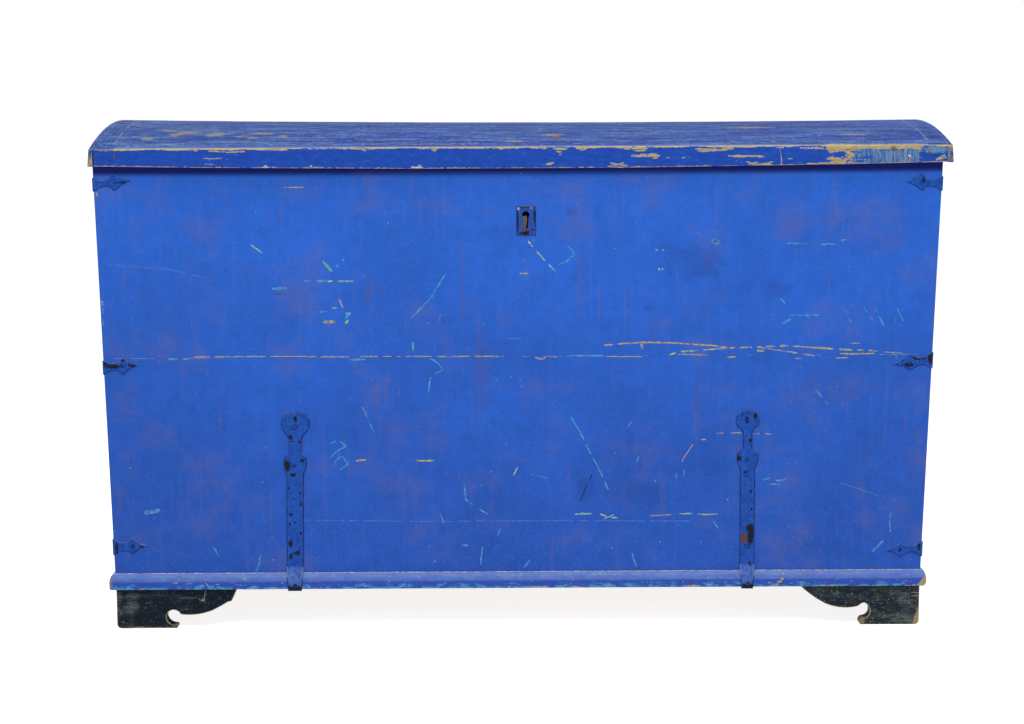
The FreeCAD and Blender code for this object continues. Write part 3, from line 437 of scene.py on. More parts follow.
def moulding_blue(finish, tint):
    """Blue of the plinth moulding: paler on its shoulder, as worn paint and as a painted highlight where it
    faces up; worn to turquoise and wood along its lower edge.
    """
    coarse = finish.noise((0.035, 0.02, 0.012), 4.0, 0.65)
    middle = finish.noise((0.014, 0.006, 0.006), 4.0, 0.68, (4.0, 0.0, 0.0))
    fine = finish.noise((0.005, 0.003, 0.003), 3.0, 0.65)
    finish.colour = tint.moulding_blue
    relief = brushed(finish, (0.05, 0.003, 0.003), (0.12, 0.004, 0.0014))
    # Worn paint and painted highlight: the shoulder, which faces up, is laid paler.
    shoulder = finish.z.stray(fine, 0.003).rise(0.0722, 0.0768)
    finish.over(shoulder * coarse.rise(0.3, 0.7, 0.62, 0.9), tint.moulding_pale)
    finish.shade(middle, 0.86, 1.1)
    band = finish.z.rise(0.066, 0.0735, 1.0, 0.0)
    patches = (coarse + middle * 0.5).rise(0.78, 0.86, 0.0, 0.85)
    finish.over(band * (patches * fine.rise(0.38, 0.52)), tint.turquoise)
    end_low = finish.z.rise(0.064, 0.067, 1.0, 0.0)
    finish.over(end_low * middle.rise(0.46, 0.54, 0.0, 0.8), tint.turquoise)
    chips = (middle + fine * 0.4).rise(0.86, 0.9, 0.0, 0.9)
    finish.over(chips, tint.chip_wood)
    bare = finish.z.stray(coarse, 0.03).rise(0.0605, 0.062, 1.0, 0.0)
    finish.over(bare * fine.rise(0.4, 0.5), tint.chip_wood)
    left = (finish.x + middle * 0.005).rise(-0.629, -0.6275, 1.0, 0.0)
    slope = finish.x + finish.z * -0.75
    right = (slope + middle * 0.01).rise(0.562, 0.565)
    near = finish.y.rise(-0.306, -0.3, 1.0, 0.0)
    finish.over(left * near * 0.75, tint.lid_dirt)
    finish.over(right * near * 0.9, finish.tone(tint.foot_edge, fine, 0.75, 1.1))
    shoulder = (finish.z + middle * 0.002).between(0.0822, 0.0838, 0.0006)
    shoulder = shoulder * coarse.rise(0.42, 0.54, 0.0, 0.9)
    finish.over(shoulder * fine.rise(0.4, 0.55), tint.lid_green)
    dots = finish.flecks(0.007, 0.0011, 0.35, (3.0, 2.0, 5.0))
    under = finish.z.rise(0.07, 0.076, 1.0, 0.1)
    finish.over(dots * under * 0.8, finish.blend(middle.rise(0.46, 0.54), tint.turquoise, tint.chip_pale))
    joint = finish.z.rise(0.0858, 0.0868) * fine.rise(0.38, 0.54)
    joint = joint * coarse.rise(0.38, 0.46, 0.3, 1.0)
    finish.over(joint * 0.85, finish.blend(middle.rise(0.45, 0.55), tint.chip_pale, tint.chip_wood))
    finish.done(relief, 0.0005, 0.4)


def rail_blue(finish, tint):
    """Blue of the lid's rail, bare along both edges and worn through at its right end."""
    coarse = finish.noise((0.05, 0.02, 0.007), 4.0, 0.62)
    middle = finish.noise((0.012, 0.008, 0.006), 4.0, 0.68, (3.0, 0.0, 5.0))
    fine = finish.noise((0.006, 0.004, 0.003), 3.0, 0.65)
    finish.colour = tint.rail_blue
    relief = brushed(finish, (0.09, 0.01, 0.0022), (0.02, 0.01, 0.004))
    finish.shade(middle, 0.84, 1.12)
    finish.over(middle.rise(0.6, 0.72, 0.0, 0.5), tint.lid_pale)
    finish.over(middle.rise(0.26, 0.36, 0.6, 0.0), tint.case_shade)
    flecks = finish.flecks(0.012, 0.0009, 0.35, (2.0, 0.0, 1.0))
    finish.over(flecks * 0.8, tint.dust)
    wood = finish.tone(finish.tone(tint.chip_wood, fine, 0.8, 1.1), coarse, 0.85, 1.1)
    old = finish.blend(fine.rise(0.4, 0.6, 0.25, 0.85), tint.turquoise, tint.lid_dirt)
    striped = finish.noise((0.003, 0.02, 0.03), 3.0, 0.75, twist=0.5)
    stripes = finish.blend(striped.rise(0.4, 0.54, 0.1, 0.85), tint.rail_blue, old)
    stripes = finish.blend(striped.rise(0.58, 0.68, 0.0, 0.75), stripes, wood)
    stripes = finish.blend(coarse.rise(0.54, 0.6), stripes, tint.rail_blue)
    x = finish.x.stray(coarse, 0.05)
    z = finish.z.stray(fine, 0.006)
    finish.over(x.between(0.502, 0.6, 0.004), stripes)
    finish.over(x.between(0.462, 0.5, 0.0015), wood)
    island = finish.blot((0.4803, 0, 0.7243), (0.011, None, 0.0045), 0.12, fine)
    finish.over(island, tint.rail_blue)
    green = finish.blot((0.624, 0, 0.731), (0.018, None, 0.005), 0.3, fine)
    finish.over(green * 0.8, old)
    isles = finish.noise((0.008, 0.02, 0.0035), 3.0, 0.6, (5.0, 0.0, 9.0)).rise(0.57, 0.61)
    finish.over(x.between(0.468, 0.502, 0.002) * isles, tint.rail_blue)
    stretch = x.between(0.47, 0.603, 0.004) * z.rise(0.7318, 0.7328)
    top = z.stray(coarse, 0.012).rise(0.7362, 0.737)
    under = finish.x * finish.x * 0.0155 + RAIL_LOW_MIDDLE
    above = z - under
    low = above.stray(coarse, -0.004).rise(0.0007, 0.0013, 1.0, 0.0)
    top = top * finish.x.rise(-0.618, -0.608, 0.45, 1.0)
    bare = top.most(stretch).most(low)
    bare = bare * finish.y.rise(LID_FRONT + 0.0028, LID_FRONT + 0.004, 1.0, 0.0)
    finish.over(bare, wood)
    knot = finish.blot((0.5614, LID_FRONT, 0.7328), (0.0045, 0.02, 0.004), 0.5, fine)
    finish.over(knot * 0.8, tint.chip_brown)
    behind = finish.y.rise(LID_FRONT + 0.0028, LID_FRONT + 0.004)
    lines = finish.noise((0.3, 0.0015, 0.05), 2.0, 0.5).rise(0.48, 0.56, 0.25, 0.8)
    finish.over(behind * lines, tint.lid_pale)
    finish.done(relief, 0.0006, 0.4)


def lid_blue(finish, tint):
    """Thin paint of the lid's top, streaked along the boards and scuffed to a grey brown."""
    streak = finish.noise((0.11, 0.016, 0.04), 5.0, 0.72, twist=0.3)
    thread = finish.noise((0.05, 0.0045, 0.02), 3.0, 0.65, (4.0, 4.0, 0.0))
    wide = finish.noise((0.3, 0.05, 0.05), 3.0, 0.6, (1.0, 6.0, 0.0))
    fine = finish.noise((0.012, 0.01, 0.01), 4.0, 0.7, (0.0, 3.0, 0.0))
    speck = finish.noise((0.005, 0.006, 0.006), 3.0, 0.7, (7.0, 1.0, 0.0))
    finish.colour = finish.blend(streak.rise(0.42, 0.6), tint.lid_blue, tint.lid_pale)
    finish.shade(wide, 0.8, 1.08)
    finish.shade(fine, 0.66, 1.22)
    finish.shade(thread, 0.84, 1.12)
    finish.shade(speck, 0.7, 1.25)
    grey = streak * 0.6 + fine * 0.4
    finish.over(grey.rise(0.56, 0.66, 0.0, 0.75), tint.lid_dirt)
    bits = finish.noise((0.022, 0.014, 0.03), 5.0, 0.72, (6.0, 2.0, 0.0))
    finish.over(bits.rise(0.6, 0.65, 0.0, 0.8), tint.lid_dirt)
    sparks = (speck * 0.6 + bits * 0.4).rise(0.58, 0.64, 0.0, 0.6)
    finish.over(sparks, tint.dust)
    places = [((x * MM, y * MM, 0), (half_x * MM, half_y * MM, None)) for x, y, half_x, half_y in LID_SCUFFS]
    scuffs = finish.blots(places, 0.25, bits * 2.4 - 0.7)
    scuffs = scuffs * fine.rise(0.3, 0.42, 0.3, 0.95)
    finish.over(scuffs, finish.tone(tint.lid_dirt, thread, 0.85, 1.25))
    knot = finish.blot((0.0562, -0.254, 0), (0.005, 0.012, None), 0.4, fine)
    finish.over(knot, tint.chip_brown)
    hint = finish.noise((0.03, 0.01, 0.03), 3.0, 0.6, (2.0, 8.0, 3.0))
    hint = hint + finish.x.rise(-0.55, -0.2, 0.07, 0.0)
    finish.over(hint.rise(0.58, 0.68, 0.0, 0.3), tint.lid_green)
    pale = finish.flecks(0.02, 0.0012, 0.25)
    finish.over(pale * 0.7, tint.chip_pale)
    ends = abs(finish.x - 0.0008)
    border = ends.between(0.615, 0.6175, 0.0006).most(finish.y.between(-0.299, -0.2965, 0.0006))
    inside = ends.rise(0.6385, 0.6395, 1.0, 0.0) * finish.y.rise(-0.3, -0.2994)
    dotted = fine.rise(0.42, 0.54, 0.1, 0.75) * speck.rise(0.4, 0.55, 0.4, 1.0)
    finish.over(border * inside * dotted, tint.dust)
    relief = streak + thread + fine * 0.6
    finish.done(relief, 0.0006, 0.5, streak.rise(0.3, 0.7, 0.6, 0.8))


# Across, back, half width and half depth, in mm.
LID_SCUFFS = (
    (-514, -205, 18, 14), (-530, -222, 10, 10), (-464, -215, 11, 16), (-476, -228, 8, 10),
    (-548, -186, 13, 8), (-431, -236, 7, 6), (-408, -248, 9, 5), (-400, -210, 15, 7), (-364, -240, 8, 5),
    (-571, -254, 10, 9), (50, -225, 15, 12), (-5, -281, 18, 6), (510, -240, 22, 6), (360, -150, 30, 10),
    (-240, 120, 40, 14), (430, 60, 30, 20),
)


def lid_edge(finish, tint):
    """Greyed bare wood on the lid's outer edges."""
    coarse = finish.noise((0.03, 0.03, 0.02), 4.0, 0.65)
    fine = finish.noise(0.006, 3.0, 0.6)
    finish.colour = tint.lid_blue
    finish.shade(fine, 0.8, 1.1)
    finish.shade(coarse, 0.8, 1.15)
    upright = finish.noise((0.004, 0.006, 0.03), 3.0, 0.65, (2.0, 5.0, 0.0))
    near = finish.y.rise(-0.312, -0.29, 1.0, 0.12)
    low = (finish.z + coarse * 0.008).rise(0.7165, 0.719, 0.8, 0.0)
    worn = near.most(low)
    finish.over(near * upright.rise(0.44, 0.54, 0.0, 0.7), tint.turquoise)
    finish.over(worn * coarse.rise(0.42, 0.5, 0.0, 0.8), tint.lid_dirt)
    bare = (coarse + upright * 0.3).rise(0.7, 0.76)
    finish.over(worn * bare, tint.foot_edge)
    finish.done(fine, 0.0005, 0.5)


def foot_black(finish, tint):
    """Blue-black paint of the feet, scuffed to a greenish white near their outer corners, with a painted
    shadow along their tops under the moulding.
    """
    cloud = finish.noise((0.018, 0.018, 0.012), 5.0, 0.7, (1.0, 2.0, 3.0))
    fine = finish.noise((0.01, 0.004, 0.0025), 4.0, 0.68)
    finish.colour = tint.foot_black
    finish.shade(fine, 0.7, 1.35)
    finish.shade(cloud, 0.8, 1.2)
    share = cloud * 0.7 + fine * 0.3
    finish.over(share.rise(0.54, 0.7, 0.0, 0.32), tint.foot_scuff)
    outside = abs(finish.x + 0.007).rise(0.585, 0.615)
    finish.over(outside * share.rise(0.47, 0.62, 0.0, 0.5), tint.foot_scuff)
    right = finish.x.rise(0.4, 0.44)
    smear = finish.noise((0.03, 0.02, 0.008), 4.0, 0.68, (6.0, 0.0, 4.0))
    smear_share = smear * 0.5 + fine * 0.5
    finish.over(right * smear_share.rise(0.44, 0.66, 0.03, 0.3), tint.foot_scuff)
    for spacing, radius, share in ((0.0055, 0.0011, 0.6), (0.0036, 0.0008, 0.6)):
        dots = finish.flecks(spacing, radius, share, (radius * 900.0, 0.0, share))
        amount = dots * finish.x.rise(0.4, 0.44, 0.25, 0.95)
        finish.over(amount, finish.tone(tint.foot_scuff, cloud, 0.9, 1.5))
    ragged = fine * 2.0 - 0.5
    for *row, strength in FOOT_SCUFFS:
        spot = finish.blots(on_front([row], 0.03), 0.6, ragged)
        rough = (fine * 0.6 + smear * 0.4).rise(0.4, 0.58, 0.1, 1.0)
        spot = spot * rough
        finish.over(spot * strength, finish.tone(tint.foot_scuff, fine, 0.9, 1.35))
    sole = (finish.z + cloud * 0.008).rise(0.0055, 0.007, 1.0, 0.0)
    worn = (finish.x + fine * 0.01).rise(-0.604, -0.601)
    finish.over(sole * worn * finish.x.rise(-0.53, -0.52, 1.0, 0.0), tint.foot_edge)
    slant = finish.x + finish.z * -0.28
    corner = (slant + fine * 0.004).rise(0.6025, 0.604) * finish.z.rise(0.022, 0.029, 1.0, 0.0)
    finish.over(corner * 0.85, finish.tone(tint.foot_edge, fine, 0.7, 1.1))
    lip = finish.blot((0.523, FRONT, 0.006), (0.0045, 0.03, 0.0085), 0.3, fine).most(
        finish.blot((-0.533, FRONT, 0.005), (0.006, 0.03, 0.0045), 0.4, fine)
    )
    finish.over(lip * 0.6, finish.tone(tint.foot_edge, fine, 0.6, 1.1))
    for height in (0.0450, 0.0500):
        rub = finish.blot((0.61, FRONT, height), (0.01, 0.004, 0.0009), 0.4, fine)
        finish.over(rub * 0.6, tint.foot_edge)
    # Painted shadow: a near-black line along the feet's tops, under the moulding.
    painted_moulding_shadow = finish.z.rise(BODY_BOTTOM - 0.0036, BODY_BOTTOM - 0.0018, 0.0, 0.85)
    finish.over(painted_moulding_shadow, tint.iron_dark)
    finish.done(fine + cloud, 0.0006, 0.5)


# As the spots above, and the strength of each.
FOOT_SCUFFS = (
    (-602, 33, 9, 8, 0.60), (-602, 50, 10, 5, 0.35), (-565, 52, 30, 2.5, 0.18), (-515, 48, 20, 1.5, 0.25),
    (590, 38, 14, 7, 0.34), (580, 10, 30, 7, 0.34), (560, 48, 16, 4, 0.28), (470, 50, 22, 6, 0.34),
)


def foot_edge(finish, tint):
    """The feet's sawn edges, rubbed to dirty wood."""
    coarse = finish.noise(0.016, 4.0, 0.6)
    fine = finish.noise(0.004, 3.0, 0.6)
    finish.colour = tint.foot_edge
    finish.shade(fine, 0.7, 1.15)
    finish.over(coarse.rise(0.32, 0.44, 0.85, 0.0), tint.foot_black)
    finish.done(fine, 0.0005, 0.5)


def painted_iron(finish, tint, blue, bare, strap=False):
    """Forged iron under blue paint, dark where the paint has gone; a strap is rubbed and rusty besides."""
    coarse = finish.noise((0.011, 0.011, 0.013), 3.0, 0.55, (4.0, 0.0, 2.0))
    middle = finish.noise((0.006, 0.006, 0.009), 4.0, 0.68, (1.0, 0.0, 6.0))
    fine = finish.noise((0.003, 0.003, 0.004), 3.0, 0.6)
    finish.colour = blue
    finish.shade(coarse, 0.8, 1.1)
    finish.shade(middle, 0.8, 1.15)
    finish.over(middle.rise(0.58, 0.72, 0.0, 0.5), tint.faint)
    dark = finish.tone(finish.blend(fine.rise(0.58, 0.8), tint.iron_dark, tint.iron_rust), coarse, 0.4, 0.9)
    gone = (coarse * 0.6 + middle * 0.4).rise(0.605, 0.63)
    gone = gone.most(finish.blots(bare, 0.3, fine))
    finish.over(gone * 0.98, dark)
    if strap:
        rubbed = finish.z.rise(0.085, 0.1, 1.0, 0.0)
        finish.over(rubbed * middle.rise(0.36, 0.56, 0.15, 0.8), tint.iron_rub)
        foot = (finish.z + fine * 0.008).rise(0.07, 0.074, 1.0, 0.0)
        finish.over(foot, dark)
        rust = finish.blot((0.34, FRONT, 0.137), (0.0052, 0.02, 0.0085), 0.3, fine)
        finish.over(rust, tint.iron_rust)
    finish.done(coarse + fine, 0.001, 0.7, coarse.rise(0.3, 0.7, 0.5, 0.34))


STRAP_SPOTS = (
    (-346.3, 326.3, 2.7, 4.9), (-347.1, 313.4, 4, 4.3), (-353.5, 297.2, 3.1, 3.7),
    (-340.8, 291.1, 1.5, 2.8), (-359.9, 253.4, 5.5, 8), (-336.7, 261.1, 3.1, 2.8),
    (-357.1, 218.8, 1.5, 2.8), (-340.2, 210.9, 1.5, 2.3), (-339.3, 193.6, 1.7, 3.4),
    (-356.8, 177.9, 1.4, 2.8), (-356.8, 163, 1.4, 3.1), (-340.4, 148.3, 2, 2.5), (-355.6, 132.3, 2.6, 6.7),
    (-345.9, 117.6, 4, 3.4), (-356.1, 112.1, 2.3, 5.5), (-343.6, 89.6, 1.5, 1.5), (343.4, 322.6, 3.1, 3.4),
    (328.4, 327.2, 2, 4), (356.8, 328, 2.9, 8), (351, 335.7, 3.7, 2.5), (340.3, 338, 4, 1.5),
    (349.5, 288.7, 2.4, 3.4), (332.7, 261.8, 3.2, 4.3), (341.9, 240, 3.1, 2.6), (350.2, 209.7, 1.7, 3.4),
    (351.5, 182.6, 1.4, 2.5), (349.5, 153, 6.2, 6.2), (351.2, 142, 5.8, 9.5), (350, 133, 4.6, 5),
    (344.1, 125.6, 4, 1.8),
)


def strap_iron(finish, tint):
    """Painted straps, with the dark spots and the rust patch of each."""
    painted_iron(finish, tint, tint.iron_blue, on_front(STRAP_SPOTS, 0.02), True)


PLATE_SPOTS = (
    (7, 608, 6, 3), (-5, 626, 1.4, 16), (21, 632, 1.4, 14), (8, 648, 12, 1.4),
)


def plate_iron(finish, tint):
    """Painted lock plate, its edges rubbed dark."""
    painted_iron(finish, tint, tint.plate_blue, on_front(PLATE_SPOTS, 0.02))


CORNER_SPOTS = (
    (-622.5, 407.9, 9.9, 3.5), (-633.9, 411.7, 3.1, 5.2), (-607.4, 416.9, 3.8, 2), (-607.4, 409, 4.3, 2.8),
    (-592.5, 409.3, 6.4, 2.3), (605.6, 415.5, 11.4, 4.3), (622.4, 416.3, 3.5, 11.5),
    (590.1, 422.8, 5.2, 3.4), (590.1, 403.8, 7, 3.1), (575.1, 410.2, 7, 2), (-651.8, 682.5, 2.7, 9.2),
    (-601.9, 688, 5.5, 1.8), (609.1, 696.9, 3.1, 3.1), (608.7, 684.8, 2.3, 4), (590.4, 687.8, 5.2, 1.7),
    (-623.9, 126.1, 2.7, 8.4), (-583.6, 128.4, 6.1, 1.7), (609.6, 124.5, 2.4, 7.7), (566, 123, 6.9, 1.7),
)


def corner_iron(finish, tint):
    """Painted corner irons, with the dark spots of each."""
    painted_iron(finish, tint, tint.iron_blue, on_front(CORNER_SPOTS, 0.03))


def iron_edge(finish, tint):
    """Forged edges, dark with bare iron and with painted shade round the irons' outlines; a painted highlight
    in dust colour on those that face up, and painted shade on those that face down and towards the right.
    """
    coarse = finish.noise((0.009, 0.009, 0.012), 3.0, 0.6, (7.0, 0.0, 0.0))
    fine = finish.noise(0.003, 2.0, 0.6)
    facing = finish.split(finish.node("ShaderNodeNewGeometry", {}, "Normal"))
    dark = finish.tone(finish.blend(fine.rise(0.56, 0.7), tint.iron_dark, tint.iron_rust), fine, 0.5, 1.0)
    blue = finish.tone(tint.iron_blue, fine, 0.7, 1.1)
    lit = finish.blend(coarse.rise(0.34, 0.5, 0.3, 0.95), blue, tint.dust)
    # Painted shade on edges facing down and towards the right; painted highlight on edges facing up.
    down = facing[0] * 0.6 + facing[2] * -1.0
    finish.colour = finish.blend(coarse.rise(0.34, 0.62, 0.85, 0.35), blue, dark)
    finish.over(down.rise(0.05, 0.35, 0.0, 0.95), dark)
    finish.over(facing[2].rise(0.15, 0.5, 0.0, 0.9), lit)
    finish.done(fine, 0.0004, 0.5)


def dark_iron(finish, tint):
    """Bare forged iron with rust in patches."""
    coarse = finish.noise(0.02, 4.0, 0.6)
    fine = finish.noise(0.003, 3.0, 0.6)
    finish.colour = finish.blend(coarse.rise(0.5, 0.68), tint.iron_dark, tint.iron_rust)
    finish.shade(fine, 0.75, 1.25)
    finish.done(coarse + fine, 0.0006, 0.5, coarse.rise(0.3, 0.7, 0.45, 0.7))


def painted_nail(finish, tint):
    """Nail heads under worn blue paint."""
    coarse = finish.noise(0.006, 3.0, 0.6, (3.0, 0.0, 1.0))
    finish.colour = finish.blend(coarse.rise(0.45, 0.6, 0.1, 0.85), tint.iron_blue, tint.iron_dark)
    finish.done(coarse, 0.0005, 0.5)


def plate_nail(finish, tint):
    """Small round nails of the lock plate, worn pale."""
    coarse = finish.noise(0.006, 3.0, 0.6, (3.0, 2.0, 1.0))
    pale = finish.tone(tint.dust, coarse, 0.8, 1.3)
    high = finish.z.rise(0.63, 0.636)
    finish.colour = finish.blend(high * finish.x.rise(0.004, 0.01, 0.9, 0.45), tint.iron_dark, pale)
    finish.done(coarse, 0.0005, 0.5)


def hollow_dark(finish, tint):
    """Painted shade on the keyhole's sides: near-black, as the inside of the hole looks."""
    fine = finish.noise(0.002, 3.0, 0.6)
    finish.colour = finish.tone(tint.iron_dark, fine, 0.3, 0.7)
    finish.done(fine, 0.0003, 0.5)


def pine(finish, tint, along):
    """Unpainted pine with its grain along one axis."""
    band = [0.009, 0.009, 0.009]
    band[along] = 0.35
    thread = [0.0012, 0.0012, 0.0012]
    thread[along] = 0.06
    rings = finish.noise(band, 2.0, 0.5, twist=0.8)
    threads = finish.noise(thread, 3.0, 0.6)
    stain = finish.noise(0.2, 4.0, 0.6, (1.0, 1.0, 5.0))
    finish.colour = finish.blend(rings.rise(0.35, 0.65, 0.0, 0.62), tint.wood_light, tint.wood_dark)
    finish.shade(threads, 0.88, 1.08)
    finish.shade(stain, 0.8, 1.08)
    knots = finish.flecks(0.19, 0.008, 0.35, (0.3, 0.6, 0.1))
    finish.over(knots * 0.8, tint.chip_brown)
    finish.done(rings + threads, 0.0005, 0.4, threads.rise(0.3, 0.7, 0.58, 0.75))


def mark(finish, colour, second=None, under=None):
    """Colour of a kind of chip or scratch, uneven along its length and lost here and there."""
    fine = finish.noise((0.004, 0.004, 0.003), 3.0, 0.6)
    patchy = finish.noise((0.010, 0.010, 0.009), 3.0, 0.6, (4.0, 4.0, 4.0))
    finish.colour = finish.tone(colour, fine, 0.72, 1.1)
    if second is not None:
        finish.over(patchy.rise(0.50, 0.58), second)
    if under is not None:
        finish.over((fine * 0.5 + patchy * 0.5).rise(0.38, 0.50, 0.9, 0.0), under)
    finish.done(fine, 0.0003, 0.4)


# Each maker with its finish's roughness and specular, and metallic where it has any.
MAKERS = (
    (case_blue, 0.5, 0.16), (worn_edge, 0.6, 0.2), (moulding_blue, 0.45, 0.25), (rail_blue, 0.5, 0.16),
    (lid_blue, 0.6, 0.1), (lid_edge, 0.62, 0.2), (foot_black, 0.6, 0.1), (foot_edge, 0.65, 0.2),
    (strap_iron, 0.45, 0.14), (plate_iron, 0.45, 0.14), (corner_iron, 0.45, 0.14), (iron_edge, 0.5, 0.1),
    (dark_iron, 0.55, 0.4, 0.35), (painted_nail, 0.6, 0.08), (plate_nail, 0.4, 0.3), (hollow_dark, 0.8, 0.1),
)
PINE_GRAIN = {"pine_long": 0, "pine_deep": 1, "pine_tall": 2}
# The colours of each kind of mark: its own, one that it turns to in places, and the paint that covers it.
MARK_TINTS = {
    "tongue_iron": ("tongue", "chip_brown"),
    "mark_orange": ("orange", "yellow", "case_high"),
    "mark_turquoise": ("turquoise", "faint", "case_high"),
    "mark_yellow": ("yellow", "turquoise", "case_high"),
    "mark_green": ("green", "turquoise"),
    "mark_brown": ("chip_brown",),
    "mark_faint": ("faint", None, "case_high"),
    "mark_tan": ("chip_wood", "orange", "case_high"),
    "mark_pale": ("chip_pale",),
    "mark_dark": ("case_shade",),
    "mark_crack": ("chip_pale", "foot_scuff"),
    "mark_black": ("iron_dark",),
}


def finish_named(name):
    """The finish with this name, made the first time that it is asked for."""
    found = bpy.data.materials.get(name)
    if found is not None:
        return found
    tint = bpy.context.scene.chest_paints
    if name in MARK_TINTS:
        finish = Finish(name, 0.65, 0.15)
        mark(finish, *(part and getattr(tint, part) for part in MARK_TINTS[name]))
    elif name in PINE_GRAIN:
        finish = Finish(name, 0.65, 0.2)
        pine(finish, tint, PINE_GRAIN[name])
    else:
        (maker, *settings), = [row for row in MAKERS if row[0].__name__ == name]
        finish = Finish(name, *settings)
        maker(finish, tint)
    return finish.material


